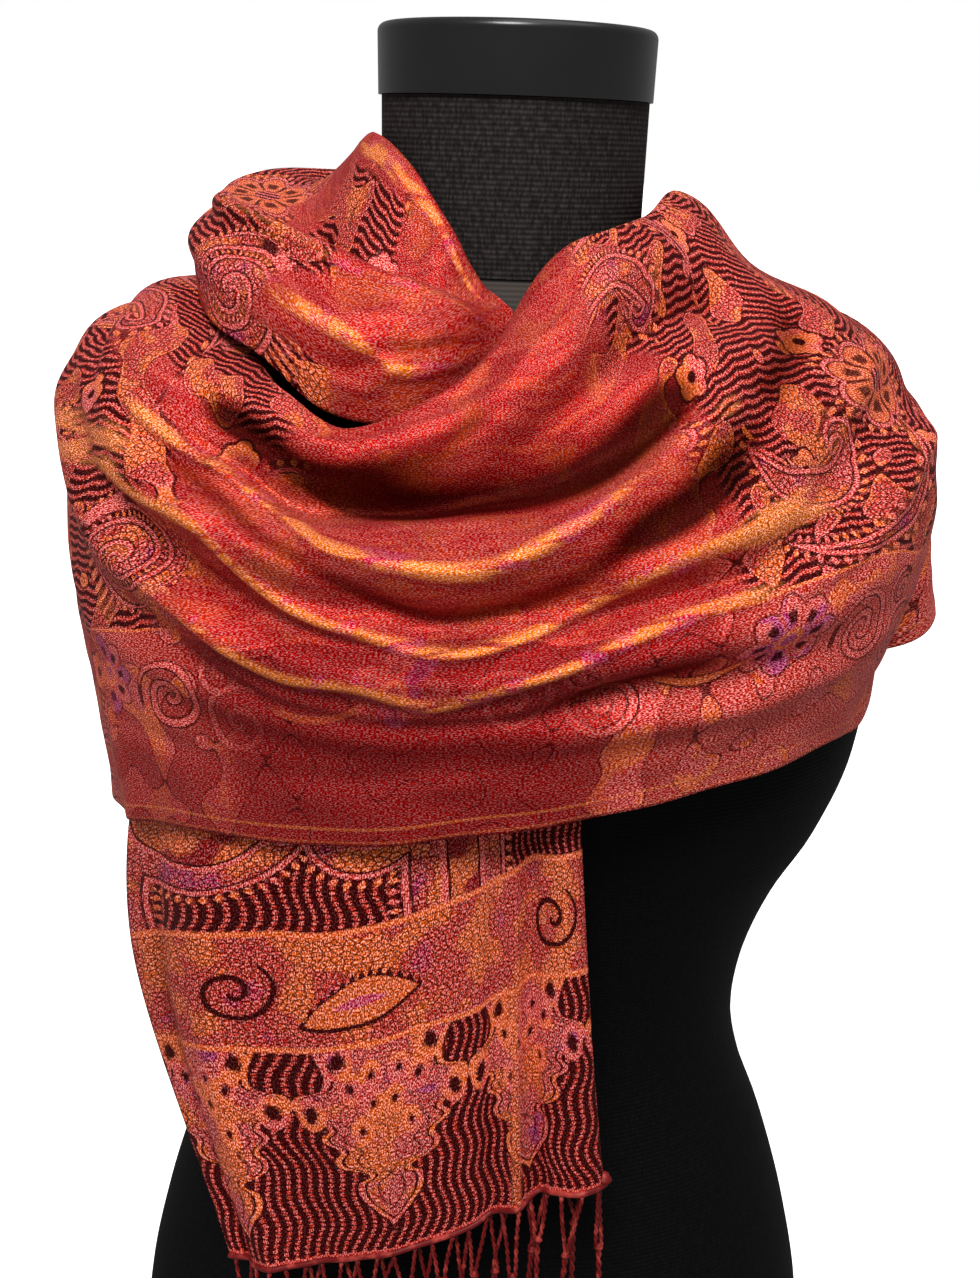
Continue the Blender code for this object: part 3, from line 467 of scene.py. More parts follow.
# Ripples across the hanging ends: place across, height at the hem, half a fold's width, and how far the place
# moves across on the way up
Ripple = namedtuple("Ripple", "at height spread lean")
FRONT_RIPPLES = [
    Ripple(0.050, -0.0036, 0.024, 0.010),
    Ripple(0.125, 0.0026, 0.022, 0.010),
    Ripple(0.205, -0.0018, 0.024, 0.004),
    Ripple(0.300, 0.0016, 0.026, 0.000),
    Ripple(0.422, -0.0024, 0.009, 0.006),
    Ripple(0.447, 0.0050, 0.010, 0.008),
    Ripple(0.474, -0.0030, 0.009, 0.004),
]
BACK_RIPPLES = [
    Ripple(0.10, 0.0030, 0.045, 0.02),
    Ripple(0.26, -0.0032, 0.050, 0.02),
    Ripple(0.44, 0.0028, 0.050, 0.00),
    Ripple(0.62, -0.0030, 0.050, -0.02),
    Ripple(0.82, 0.0028, 0.045, -0.02),
]

# Small dents and swells of soft cloth: the seed of their draws, how many faint waves, how often they turn on
# the way round, how steeply they run across, and how high they are
PUCKER_SEED = 7
PUCKERS = 26
PUCKER_TURNS = (2, 22)
PUCKER_SLOPE = 28.0
PUCKER_LENGTH = 0.1
CAPE_PUCKER = 0.0007
BAND_PUCKER = 0.0004

# Where the finer folds fade in, how wide the band's creases take it to be, and how strongly folds paint
# light: a painted highlight where they lift and painted shade where they sink
CAPE_FINE_TOP = 0.06
CAPE_FINE_SOFT = 0.12
BAND_CREASE_WIDTH = 0.125
RIPPLE_SOFT = 0.7
CAPE_PAINTED_LIGHT = 30.0
BAND_PAINTED_LIGHT = 40.0
FRONT_PAINTED_LIGHT = 160.0
BACK_PAINTED_LIGHT = 100.0


def weights(keys, at, period=0.0):
    """Each place's share of every keyed row, on the same smooth curve that the solids' tables follow."""
    keys = np.asarray(keys, float)
    at = np.atleast_1d(np.asarray(at, float)).ravel()
    count = len(keys)
    last = count - 1 if period else count - 2
    at = keys[0] + (at - keys[0]) % period if period else np.clip(at, keys[0], keys[-1])
    low = np.clip(np.searchsorted(keys, at + 1e-9, side="right") - 1, 0, last)

    def row(i):
        return i % count if period else np.clip(i, 0, count - 1)

    def key(i):
        return keys[row(i)] + period * np.floor(i / count) if period else keys[row(i)]

    span = key(low + 1) - key(low)
    share = (at - key(low)) / span
    made = np.zeros((len(at), count))
    line = np.arange(len(at))
    for i, amount in (
        (low, 2 * share**3 - 3 * share**2 + 1),
        (low + 1, -2 * share**3 + 3 * share**2),
    ):
        np.add.at(made, (line, row(i)), amount)
    for i, amount in ((low, share**3 - 2 * share**2 + share), (low + 1, share**3 - share**2)):
        slope = amount * span / (key(i + 1) - key(i - 1))
        np.add.at(made, (line, row(i + 1)), slope)
        np.add.at(made, (line, row(i - 1)), -slope)
    return made


def ease(share):
    """0 before 0, 1 after 1, and a smooth rise between."""
    share = np.clip(share, 0.0, 1.0)
    return share * share * (3 - 2 * share)


def arch(share):
    """A hump over 0 to 1 with soft ends and a broad top."""
    return ease(share / SOFT_END) * ease((1 - share) / SOFT_END)


def rays(angle):
    """Level directions at angles from the front, growing towards +X."""
    turn = np.radians(angle)
    return np.stack([np.sin(turn), -np.cos(turn), np.zeros_like(turn)], axis=-1)


def form_radii(angle, up):
    """How far the torso or the neck reaches from the axis, at angles and heights."""
    shape = np.shape(angle)
    table = np.array([section[1:] for section in TORSO])
    share = weights([section.up for section in TORSO], up) @ table
    half_width, front, back, square = (share[:, i].reshape(shape) for i in range(4))
    way = rays(angle)
    depth = np.where(way[..., 1] < 0, front, back)
    total = np.abs(way[..., 0] / half_width) ** square + np.abs(way[..., 1] / depth) ** square
    return np.where(up > TORSO_TOP, NECK_RADIUS, total ** (-1 / square))


def clear_of_form(points, gap):
    """The points, each moved out along its own ray until it is a gap away from the form."""
    angle = np.degrees(np.arctan2(points[..., 0], -points[..., 1]))
    reach = np.hypot(points[..., 0], points[..., 1])
    least = form_radii(angle, points[..., 2]) + gap
    out = np.maximum(reach, least)
    moved = rays(angle) * out[..., None]
    moved[..., 2] = points[..., 2]
    return moved


def profiled(cuts, places, across):
    """Reach and height of a stretch's sections, one for each cut, at shares of its way across."""
    share = weights(places, across)
    return np.einsum("dk,akc->adc", share, cuts)


def plain_cape(angle, drop):
    """The cape without its folds, as a grid of points for angles and drops."""
    cut = weights([m.angle for m in CAPE], angle, 360.0) @ np.array([m[1:] for m in CAPE])
    lip_in, lip_down, crest_out, crest_up = cut[:, 0], cut[:, 1], cut[:, 2], cut[:, 3]
    rows = [np.stack([crest_out - lip_in, crest_up - lip_down], axis=-1)]
    rows += [cut[:, i : i + 2] for i in (2, 4, 6, 8)]
    place = profiled(np.stack(rows, axis=1), (LIP, CREST, BROW, CHEST, HEM), drop)
    points = rays(angle)[:, None, :] * place[..., :1]
    points[..., 2] = place[..., 1]
    return points


def plain_band(turn, across):
    """The neck band without its folds, as a grid of points for turns and places across."""
    cut = weights([m.turn for m in BAND], turn) @ np.array([m[1:] for m in BAND])
    rows = np.stack([cut[:, i : i + 2] for i in range(0, 12, 2)], axis=1)
    place = profiled(rows, (INNER, RIDGE, VALLEY, ROLL, FACE, EDGE), across)
    points = rays(-turn)[:, None, :] * place[..., :1]
    points[..., 2] = place[..., 1]
    return points


def normals(surface, sense, along, across):
    """Which way a surface faces, away from the form; sense is -1 where it runs clockwise."""
    along_it = (surface(along + NEAR_TURN, across) - surface(along - NEAR_TURN, across)) * sense
    high = surface(along, np.minimum(across + NEAR_SHARE, 1.0))
    low = surface(along, np.maximum(across - NEAR_SHARE, 0.0))
    facing = np.cross(high - low, along_it)
    return facing / np.linalg.norm(facing, axis=-1, keepdims=True)


def turned(angle):
    """Angles brought to between -180 and 180 degrees."""
    return (angle + 180.0) % 360.0 - 180.0


def swag_lift(swags, width, along, across):
    """How far the swags lift a stretch of this width, with soft ends and a round profile."""
    lift = np.zeros((len(along), len(across)))
    for swag in swags:
        away = turned(along - 0.5 * (swag.start + swag.end))
        share = 0.5 + away / (swag.end - swag.start)
        on = (share > 0) & (share < 1)
        sag = 4 * share * (1 - share)
        ends = swag.start_drop + (swag.end_drop - swag.start_drop) * share
        chord = 0.5 * (swag.start_drop + swag.end_drop)
        line = ends + (swag.middle_drop - chord) * sag
        off = (across[None, :] - line[:, None]) * width / swag.spread
        lift += swag.height * (arch(share) * on)[:, None] * np.exp(-off * off)
    return lift


def flute_lift(angle, drop):
    """How far the flutes lift the cape, opening towards its hem."""
    lift = np.zeros((len(angle), len(drop)))
    for flute in FLUTES:
        opening = ease((drop - flute.top) / (1 - flute.top))[None, :]
        line = flute.angle + flute.lean * opening
        away = np.radians(turned(angle[:, None] - line)) * FLUTE_REACH / flute.spread
        lift += flute.height * opening * np.exp(-away * away)
    return lift


def puckers(along, across, width, height, seed):
    """Small uneven dents and swells of a soft cloth: a few faint waves that cross each other."""
    chance = np.random.default_rng(seed)
    lift = np.zeros((len(along), len(across)))
    for _ in range(PUCKERS):
        turns = chance.integers(*PUCKER_TURNS)
        rise = chance.uniform(-1.0, 1.0) * PUCKER_SLOPE
        phase = chance.uniform(0, 2 * math.pi)
        amount = chance.normal() / math.sqrt(PUCKERS)
        wave = np.radians(along)[:, None] * turns + across[None, :] * width * rise / PUCKER_LENGTH + phase
        lift += amount * np.sin(wave)
    return lift * height


def crease_lift(creases, width, angle, drop):
    """How far creases lift a stretch, steeper below their crests, and the painted highlights and painted
    shade they give.
    """
    lift = np.zeros((len(angle), len(drop)))
    shine = np.zeros_like(lift)
    for crease in creases:
        places = sorted(crease.places)
        turns = [place[0] for place in places]
        line = (weights(turns, angle) @ np.array([[place[1]] for place in places]))[:, 0]
        fade = ease((angle - turns[0]) / CREASE_FADE) * ease((turns[-1] - angle) / CREASE_FADE)
        off = (drop[None, :] - line[:, None]) * width / crease.spread
        off = np.where((off > 0) & (crease.height > 0), off / UNDER_CREST, off)
        shape = np.exp(-off * off) * fade[:, None]
        lift += crease.height * shape
        shine += crease.shine * shape
    return lift, shine


def cape_points(angle, drop, fold=1.0, out=0.0):
    """The cape with its own folds and the finer ones, and its painted light: painted highlights on crests and
    painted shade in troughs.
    """
    solid = swag_lift(CAPE_SWAGS, CAPE_LENGTH_DOWN, angle, drop) + flute_lift(angle, drop)
    creases, shine = crease_lift(CREASES, CAPE_LENGTH_DOWN, angle, drop)
    fine = swag_lift(FINE_CAPE_SWAGS, CAPE_LENGTH_DOWN, angle, drop) + creases
    # The finer swags paint light as well: a highlight where they lift, shade where they sink.
    shine += CAPE_PAINTED_LIGHT * (fine - creases)
    fine += puckers(angle, drop, CAPE_LENGTH_DOWN, CAPE_PUCKER, PUCKER_SEED)
    fine *= fold * ease((drop - CAPE_FINE_TOP) / CAPE_FINE_SOFT)[None, :]
    lift = solid + fine
    facing = normals(plain_cape, 1.0, angle, drop)
    points = plain_cape(angle, drop) + facing * (lift + out)[..., None]
    return clear_of_form(points, CLEARANCE + WALL + out), shine


def band_points(turn, across, fold=1.0):
    """The neck band with its own folds and the finer ones, and its painted light: painted highlights on
    crests and painted shade in troughs.
    """
    lift = swag_lift(BAND_SWAGS, BAND_WIDTH, turn, across)
    creases, shine = crease_lift(BAND_CREASES, BAND_CREASE_WIDTH, turn, across)
    fine = swag_lift(FINE_BAND_SWAGS, BAND_WIDTH, turn, across) + creases
    fine += puckers(turn, across, BAND_WIDTH, BAND_PUCKER, PUCKER_SEED + 1)
    edges = ease((across - 0.05) / 0.15) * ease((1 - across) / 0.2)
    ends = ease((turn - BAND[0].turn) / 20) * ease((BAND[-1].turn - turn) / 30)
    lift = lift + fine * fold * edges[None, :] * ends[:, None]
    facing = normals(plain_band, -1.0, turn, across)
    points = plain_band(turn, across) + facing * lift[..., None]
    # The band's own swags paint light too: a highlight where they lift, shade where they sink.
    return clear_of_form(points, REST_GAP), shine + (lift - fine * fold) * BAND_PAINTED_LIGHT


def ripple_lift(ripples, across, down):
    """Ripples across a hanging end that grow towards its hem."""
    lift = np.zeros((len(across), len(down)))
    for ripple in ripples:
        line = ripple.at + ripple.lean * (1 - down)
        off = (across[:, None] - line[None, :]) / ripple.spread
        lift += ripple.height * np.exp(-off * off) * ease(down / RIPPLE_SOFT)[None, :]
    return lift


def front_end_points(across, down, fold=1.0):
    """The folded front end, down from its hidden top to its hem, and the painted highlights and painted shade
    of its ripples.
    """
    rail = weights([r.across for r in FRONT_END], across) @ np.array([r[1:] for r in FRONT_END])
    path = np.stack([rail[:, 0:3], rail[:, 3:6], rail[:, 6:9]], axis=1)
    points = np.einsum("dk,akc->adc", weights((0.0, BEND_SHARE, 1.0), down), path)
    along_it = np.gradient(points, axis=0)
    down_it = np.gradient(points, axis=1)
    facing = np.cross(down_it, along_it)
    facing /= np.linalg.norm(facing, axis=-1, keepdims=True)
    lift = ripple_lift(FRONT_RIPPLES, across, down) * fold
    points = points + facing * lift[..., None]
    # The ripples paint light: a highlight on their crests, shade in their troughs.
    return clear_of_form(points, REST_GAP + WALL), lift * FRONT_PAINTED_LIGHT


def back_end_points(column, drop, fold=1.0):
    """The back end: on the cape where drop is up to 1, and hanging free from there to 2."""
    angle = -180.0 + 360.0 * column / CAPE_SOLID_COLUMNS
    lying, shine = cape_points(angle, np.minimum(drop, 1.0), fold, WALL + SEAM + REST_GAP)
    across = (column - BACK_END_FIRST_COLUMN) / (BACK_END_LAST_COLUMN - BACK_END_FIRST_COLUMN)
    hem_up = BACK_END_UP - BACK_END_SLOPE * across
    share = np.clip(drop - 1, 0, 1)[None, :]
    gather = 1 + (BACK_END_GATHER - 1) * share
    points = lying.copy()
    points[..., 0] *= gather
    points[..., 1] *= gather
    points[..., 2] += (hem_up[:, None] - lying[..., 2]) * share
    ripple = ripple_lift(BACK_RIPPLES, across, drop - 1) * fold
    points += rays(angle)[:, None, :] * ripple[..., None]
    # The hanging ripples paint light as well, on top of the cape's painted light.
    return points, shine + ripple * BACK_PAINTED_LIGHT


def cloth_mesh(name, points, along, across, shine, calm, closed=False):
    """A grid of points as a cloth mesh, with its places on the woven cloth in metres.

    Its painted light is above 0 for a painted highlight on crests and below 0 for painted shade in troughs.
    Calm is 1 where the weave closes to a plain satin, a half where only its stripes do, and 0 where its
    pattern is strong.
    """
    lines, rows = points.shape[:2]
    first = np.arange(lines if closed else lines - 1)[:, None]
    second = (first + 1) % lines
    low = np.arange(rows - 1)[None, :]
    quads = [first * rows + low, first * rows + low + 1, second * rows + low + 1, second * rows + low]
    mesh = bpy.data.meshes.new(name)
    mesh.from_pydata(points.reshape(-1, 3).tolist(), [], np.stack(quads, axis=-1).reshape(-1, 4).tolist())
    places = np.stack(np.broadcast_arrays(along, across), axis=-1)
    corners = [(first, low), (first, low + 1), (first + 1, low + 1), (first + 1, low)]
    layer = mesh.uv_layers.new(name="cloth")
    layer.data.foreach_set("uv", np.stack([places[c] for c in corners], axis=2).astype(np.float32).ravel())
    for label, values in (("shine", shine), ("calm", calm)):
        layer = mesh.attributes.new(label, "FLOAT", "POINT")
        layer.data.foreach_set("value", np.broadcast_to(values, (lines, rows)).astype(np.float32).ravel())
    mesh.shade_smooth()
    return mesh


def shown(name, mesh, finish, node):
    """A finished mesh in the scene, riding on the part's body in place of one solid."""
    obj = bpy.data.objects.new(name, mesh)
    obj.data.materials.append(finish)
    bpy.context.scene.collection.objects.link(obj)
    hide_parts(node)
    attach(obj, "root")
    return obj


def stretch(name, mesh, finish, node, thickness):
    """A stretch of the shawl in the scene, thickened towards the form, or away from it on the neck band."""
    obj = shown(name, mesh, finish, node)
    wall = obj.modifiers.new("cloth", "SOLIDIFY")
    wall.thickness = thickness
    wall.offset = -1.0
    return obj


def lengths_along(points, axis):
    """Lengths walked along a grid of points from its first line, along one axis."""
    steps = np.linalg.norm(np.diff(points, axis=axis), axis=-1)
    start = np.zeros_like(np.take(steps, [0], axis=axis))
    return np.concatenate([start, np.cumsum(steps, axis=axis)], axis=axis)


def window(values, low, high, soft):
    """1 between low and high, with a soft rise and fall of this width about them."""
    return ease((values - low) / soft + 0.5) * ease((high - values) / soft + 0.5)


def patched(patches, along, across):
    """The strongest of some soft-edged patches at each place of a stretch."""
    strongest = np.zeros((len(along), len(across)))
    for strength, first, last, soft_along, low, high, soft_across in patches:
        on_along = window(along, first, last, soft_along)[:, None]
        on_across = window(across, low, high, soft_across)[None, :]
        strongest = np.maximum(strongest, strength * (on_along * on_across))
    return strongest


def make_cape(settings):
    """The stretch that covers both shoulders, the chest and the back."""
    angle = -180.0 + 360.0 * np.arange(CAPE_COLUMNS + 1) / CAPE_COLUMNS
    drop = np.linspace(0.0, 1.0, CAPE_ROWS)
    points, shine = cape_points(angle, drop, settings.fold)
    down = lengths_along(points, 1)
    spread = CAPE_SPREAD * (1 - CAPE_TAPER * (1 - ease(drop / CAPE_TAPER_END)))
    along = CAPE_START + np.radians(angle)[:, None] * spread[None, :]
    half_satin = patched(CAPE_HALF_SATIN, angle, drop) * (1 - patched(CAPE_STRIPES, angle, drop))
    calm = np.maximum(patched(CAPE_SATIN_AND_SHEEN, angle, drop), half_satin)
    mesh = cloth_mesh("cape", points[:-1], along, down[:, -1:] - down, shine[:-1], calm[:-1], closed=True)
    cape = stretch("cape", mesh, silk("cape_silk", settings), "shawl_cape", settings.thickness)


def make_band(settings):
    """The gathered stretch about the neck."""
    turn = np.linspace(BAND[-1].turn, BAND[0].turn, BAND_COLUMNS)
    share = np.linspace(0.0, 1.0, BAND_ROWS)
    points, shine = band_points(turn, share, settings.fold)
    down = lengths_along(points, 1)
    walked = lengths_along(points, 0).mean(axis=1, keepdims=True)
    across = BAND_ACROSS + down[:, -1:] - down
    calm = 1.0 - patched(BAND_BOLD, turn, share)
    mesh = cloth_mesh("neck_band", points, BAND_START - walked, across, shine, calm)
    band = stretch("neck_band", mesh, silk("band_silk", settings), "shawl_neck_band", settings.thickness)


def front_end_columns():
    """Places across the front end, closer together round its fold."""
    panel = np.linspace(0.0, FOLD_START, PANEL_COLUMNS)
    fold = np.linspace(FOLD_START, FOLD_END, FOLD_COLUMNS)
    back = np.linspace(FOLD_END, 1.0, RETURN_COLUMNS)
    return np.concatenate([panel, fold[1:], back[1:]])


def back_end_columns():
    """Places across the back end, counted as the cape's columns are."""
    return np.linspace(BACK_END_FIRST_COLUMN, BACK_END_LAST_COLUMN, BACK_END_COLUMNS)


def make_front_end(settings):
    """The folded end that hangs in front from beneath the cape."""
    down = np.linspace(0.0, 1.0, FRONT_END_ROWS)
    points, shine = front_end_points(front_end_columns(), down, settings.fold)
    fallen = lengths_along(points, 1)
    across = lengths_along(points, 0)[:, -1:]
    mesh = cloth_mesh("front_end", points, fallen[:, -1:] - fallen, across, shine, 0.0)
    end = stretch("front_end", mesh, silk("front_end_silk", settings), "shawl_front_end", settings.thickness)


def make_back_end(settings):
    """The end thrown over the left shoulder behind."""
    lying = np.linspace(BACK_END_FIRST_ROW / (CAPE_SOLID_ROWS - 1), 1.0, BACK_END_ROWS)
    drop = np.concatenate([lying, np.linspace(1.0, 2.0, BACK_END_FREE_ROWS)[1:]])
    points, shine = back_end_points(back_end_columns(), drop, settings.fold)
    fallen = lengths_along(points, 1)
    across = lengths_along(points, 0).mean(axis=1, keepdims=True)
    mesh = cloth_mesh("back_end", points, fallen[:, -1:] - fallen, across, shine, 0.0)
    end = stretch("back_end", mesh, silk("back_end_silk", settings), "shawl_back_end", settings.thickness)


def tube_faces(count, sides, start=0):
    """Faces of a closed tube through rings of points one after the other, with its two flat ends."""
    ring = start + np.arange(count - 1)[:, None] * sides
    side = np.arange(sides)[None, :]
    beside = (side + 1) % sides
    walls = np.stack([ring + side, ring + beside, ring + sides + beside, ring + sides + side], axis=-1)
    low_end = start + side[0, ::-1]
    high_end = start + (count - 1) * sides + side[0]
    return [*walls.reshape(-1, 4).tolist(), low_end.tolist(), high_end.tolist()]


def circle(turn):
    """Points of a level circle of radius 1 at these turns."""
    return np.stack([np.cos(turn), np.sin(turn), np.zeros_like(turn)], axis=-1)


def walked_along(line):
    """Lengths walked along a line of points from its first one."""
    return np.concatenate([[0.0], np.cumsum(np.linalg.norm(np.diff(line, axis=0), axis=1))])


class Yarns:
    """Tubes gathered into one mesh; all hang nearly straight down, so their rings lie level."""

    def __init__(self):
        self.points = []
        self.faces = []
        self.count = 0

    def add(self, rings):
        """A closed tube through rings of points."""
        count, sides = rings.shape[:2]
        self.points.append(rings.reshape(-1, 3))
        self.faces += tube_faces(count, sides, self.count)
        self.count += count * sides

    def tube(self, line, radii, sides):
        """A tube about a line of points, with a radius at each."""
        ring = circle(2 * math.pi * np.arange(sides) / sides)
        self.add(line[:, None, :] + ring[None, :, :] * np.asarray(radii)[:, None, None])

    def twisted(self, line, radius, pitch, phase):
        """Two yarns twisted about a line."""
        turn = 2 * math.pi * walked_along(line) / pitch
        for start in (0.0, math.pi):
            aside = circle(phase + start + turn)
            self.tube(line + aside * radius * YARN_OFF, np.full(len(line), radius * YARN_RADIUS), YARN_SIDES)

    def knot(self, at, radius):
        """A small knot: a squat bulge with a waist."""
        up = np.linspace(1.0, -1.0, KNOT_RINGS)
        bulge = np.sqrt(np.clip(1 - up * up, 0.0, 1.0)) * (1 + KNOT_WAIST * np.cos(up * math.pi * 2.0))
        line = np.asarray(at)[None, :] + np.stack([0 * up, 0 * up, up * radius * KNOT_HEIGHT], axis=-1)
        self.tube(line, np.maximum(bulge * radius, radius * KNOT_NECK), ROUND_SIDES)

    def welt(self, line, radius):
        """A roll along a nearly level line, such as a hem."""
        way = np.gradient(line, axis=0)
        out = np.stack([way[:, 1], -way[:, 0], np.zeros(len(line))], axis=-1)
        out /= np.linalg.norm(out, axis=1, keepdims=True)
        turn = 2 * math.pi * np.arange(ROUND_SIDES) / ROUND_SIDES
        rings = line[:, None, :] + out[:, None, :] * np.cos(turn)[None, :, None] * radius
        rings[..., 2] += np.sin(turn)[None, :] * radius
        self.add(rings)

    def mesh(self, name):
        """All the tubes as one mesh."""
        made = bpy.data.meshes.new(name)
        made.from_pydata(np.concatenate(self.points).tolist(), [], self.faces)
        made.shade_smooth()
        return made


def hanging(top, foot, count, sway, phase):
    """A line of points from top to foot that sways a little."""
    share = np.linspace(0.0, 1.0, count)
    line = top[None, :] + (foot - top)[None, :] * share[:, None]
    line[:, 0] += sway * np.sin(share * math.pi * 1.4 + phase) * share
    line[:, 1] += 0.5 * sway * np.sin(share * math.pi * 1.1 + 2 * phase) * share
    return line


def make_fringe(name, node, hem, pairs, settings, seed):
    """The knotted fringe of one end: cords twisted in pairs, joined by knots, with frayed tips."""
    chance = np.random.default_rng(seed)
    yarns = Yarns()
    radius = settings.radius
    walked = walked_along(hem)
    pitch = walked[-1] / pairs
    below_hem = np.array([0.0, 0.0, -CORD_DROP])
    yarns.welt(hem, radius * WELT_SIZE)
    yarns.knot(hem[np.argmax(hem[:, 0])] - below_hem, radius * CORNER_KNOT_SIZE)
    for i in range(pairs):
        length = settings.length * chance.uniform(*CORD_LENGTHS)
        knot_down = settings.length * chance.uniform(*KNOT_PLACES)
        foot_shift = chance.normal(0.0, CORD_SHIFT, 2)
        tops = []
        for side in (-PAIR_SPREAD, PAIR_SPREAD):
            at = np.clip(pitch * (i + 0.5) + pitch * side, 0.0, walked[-1])
            tops.append(np.array([np.interp(at, walked, hem[:, k]) for k in range(3)]) + below_hem)
        joint = 0.5 * (tops[0] + tops[1])
        foot_up = joint[2] - length
        joint[:2] += foot_shift * 0.5
        joint[2] -= knot_down
        foot = np.array([*(joint[:2] + foot_shift), foot_up])
        for side, top in zip((-1, 1), tops):
            near = joint + np.array([side * radius * JOINT_SPREAD, 0.0, 0.0])
            line = hanging(top, near, UPPER_RINGS, UPPER_SWAY * side, chance.uniform(0, 6))
            yarns.twisted(line, radius * UPPER_SIZE, settings.pitch, chance.uniform(0, 6))
        yarns.knot(joint, radius * JOINT_KNOT_SIZE)
        sway = chance.uniform(-LOWER_SWAY, LOWER_SWAY)
        line = hanging(joint, foot, LOWER_RINGS, sway, chance.uniform(0, 6))
        yarns.twisted(line, radius, settings.pitch * LOWER_TWIST, chance.uniform(0, 6))
        yarns.knot(foot, radius * FOOT_KNOT_SIZE)
        for _ in range(TIPS):
            tip = foot + np.array([*chance.normal(0.0, TIP_SPREAD, 2), -chance.uniform(*TIP_LENGTHS)])
            line = hanging(foot, tip, TIP_RINGS, TIP_SWAY, chance.uniform(0, 6))
            yarns.tube(line, np.linspace(*TIP_SIZES, TIP_RINGS) * radius, TIP_SIDES)
    shown(name, yarns.mesh(name), yarn("fringe_" + name, settings), node)


def make_fringes(settings):
    """The fringe of both ends, each along its own hem."""
    down = np.linspace(0.0, 1.0, HEM_ROWS)
    hem = front_end_points(front_end_columns(), down, settings.fold)[0][:, -1]
    make_fringe("front_fringe", "fringe_front", hem, settings.front_pairs, settings, FRONT_SEED)
    hem = back_end_points(back_end_columns(), np.array([1.9, 2.0]), settings.fold)[0][:, -1]
    make_fringe("back_fringe", "fringe_back", hem, settings.back_pairs, settings, BACK_SEED)


def loft(name, angle, reach, level, finish, node):
    """A closed solid through level rings about the axis, in place of a solid."""
    angle, reach, level = np.broadcast_arrays(angle, reach, level)
    rings = rays(angle) * reach[..., None]
    rings[..., 2] = level
    mesh = bpy.data.meshes.new(name)
    mesh.from_pydata(rings.reshape(-1, 3).tolist(), [], tube_faces(*rings.shape[:2]))
    mesh.shade_smooth()
    mesh.set_sharp_from_angle(angle=math.radians(SHARP_ANGLE))
    shown(name, mesh, finish, node)


def make_form():
    """The jersey-covered torso and neck, and the glossy neck block."""
    angle = 360.0 * np.arange(TORSO_COLUMNS) / TORSO_COLUMNS
    level = np.concatenate([[0.0, BASE_CHAMFER], np.linspace(BASE_CHAMFER, TORSO_TOP, TORSO_ROWS)[1:]])
    turns, levels = np.meshgrid(angle, level)
    reach = form_radii(turns, levels) - np.clip(BASE_CHAMFER - levels, 0.0, None)
    loft("torso", turns, reach, levels, jersey("torso_jersey", *TORSO_BLACKS), "form_torso")

    low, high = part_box("form_neck")
    reach = np.array([NECK_LOW_RADIUS, NECK_RADIUS])[:, None]
    level = np.array([low.z, high.z])[:, None]
    loft("neck", angle, reach, level, jersey("neck_jersey", *NECK_BLACKS), "form_neck")

    low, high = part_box("form_neck_block")
    bend = np.radians(np.linspace(0.0, 90.0, BLOCK_ROUNDING_STEPS))
    reach = [BLOCK_RADIUS - BLOCK_TAPER, *(BLOCK_RADIUS - BLOCK_ROUNDING * (1 - np.cos(bend)))]
    level = [low.z, *(high.z - BLOCK_ROUNDING * (1 - np.sin(bend)))]
    reach, level = np.array(reach)[:, None], np.array(level)[:, None]
    loft("neck_block", angle, reach, level, gloss("neck_block"), "form_neck_block")


NUMBER = "NodeSocketFloat"
COLOUR = "NodeSocketColor"


class Term:
    """A value in a node tree. Arithmetic on it adds the nodes that work the result out."""

    def __init__(self, tree, socket):
        self.tree = tree
        self.socket = socket

    def math(self, operation, *others):
        """One math node on this value and up to two more."""
        node = self.tree.nodes.new("ShaderNodeMath")
        node.operation = operation
        for slot, value in zip(node.inputs, (self, *others)):
            connect(value, slot)
        return Term(self.tree, node.outputs[0])

    def __add__(self, other):
        return self.math("ADD", other)

    def __sub__(self, other):
        return self.math("SUBTRACT", other)

    def __mul__(self, other):
        return self.math("MULTIPLY", other)

    def __truediv__(self, other):
        return self.math("DIVIDE", other)

    def __neg__(self):
        return self.math("MULTIPLY", -1.0)

    def __rsub__(self, other):
        return -self + other

    __radd__ = __add__
    __rmul__ = __mul__

    def abs(self):
        return self.math("ABSOLUTE")

    def sin(self):
        return self.math("SINE")

    def cos(self):
        return self.math("COSINE")

    def fract(self):
        return self.math("FRACT")

    def floor(self):
        return self.math("FLOOR")

    def larger(self, other):
        return self.math("MAXIMUM", other)

    def smaller(self, other):
        return self.math("MINIMUM", other)

    def over(self, limit):
        """1 where the value is above a limit, and 0 elsewhere."""
        return self.math("GREATER_THAN", limit)

    def angle_to(self, other):
        """The angle of a point from its upright (this value) and level (the other) distances."""
        return self.math("ARCTAN2", other)

    def reach(self, other):
        """The distance of a point from its two level distances."""
        return (self * self + other * other).math("SQRT")

    def towards(self, other, share):
        """This value moved by a share of the way to another."""
        return self + (other - self) * share

    def repeated(self, middle, pitch):
        """The distance from the nearest of a row of middles."""
        return ((self - middle) / pitch + 0.5).fract() * pitch - pitch / 2

    def rise(self, low, high):
        """0 below low, 1 above high, and a smooth rise between."""
        node = self.tree.nodes.new("ShaderNodeMapRange")
        node.interpolation_type = "SMOOTHSTEP"
        connect(self, node.inputs["Value"])
        node.inputs["From Min"].default_value = low
        node.inputs["From Max"].default_value = high
        return Term(self.tree, node.outputs["Result"])

    def fall(self, low, high):
        """1 below low, 0 above high, and a smooth fall between."""
        return 1.0 - self.rise(low, high)

    def within(self, low, high, soft=0.25):
        """1 between low and high, with soft edges."""
        return self.rise(low - soft, low + soft) * self.fall(high - soft, high + soft)


def connect(value, slot):
    """Links a term or a socket to an input, or sets the input to a plain value."""
    if isinstance(value, Term):
        value = value.socket
    if isinstance(value, bpy.types.NodeSocket):
        slot.id_data.links.new(value, slot)
    else:
        slot.default_value = value


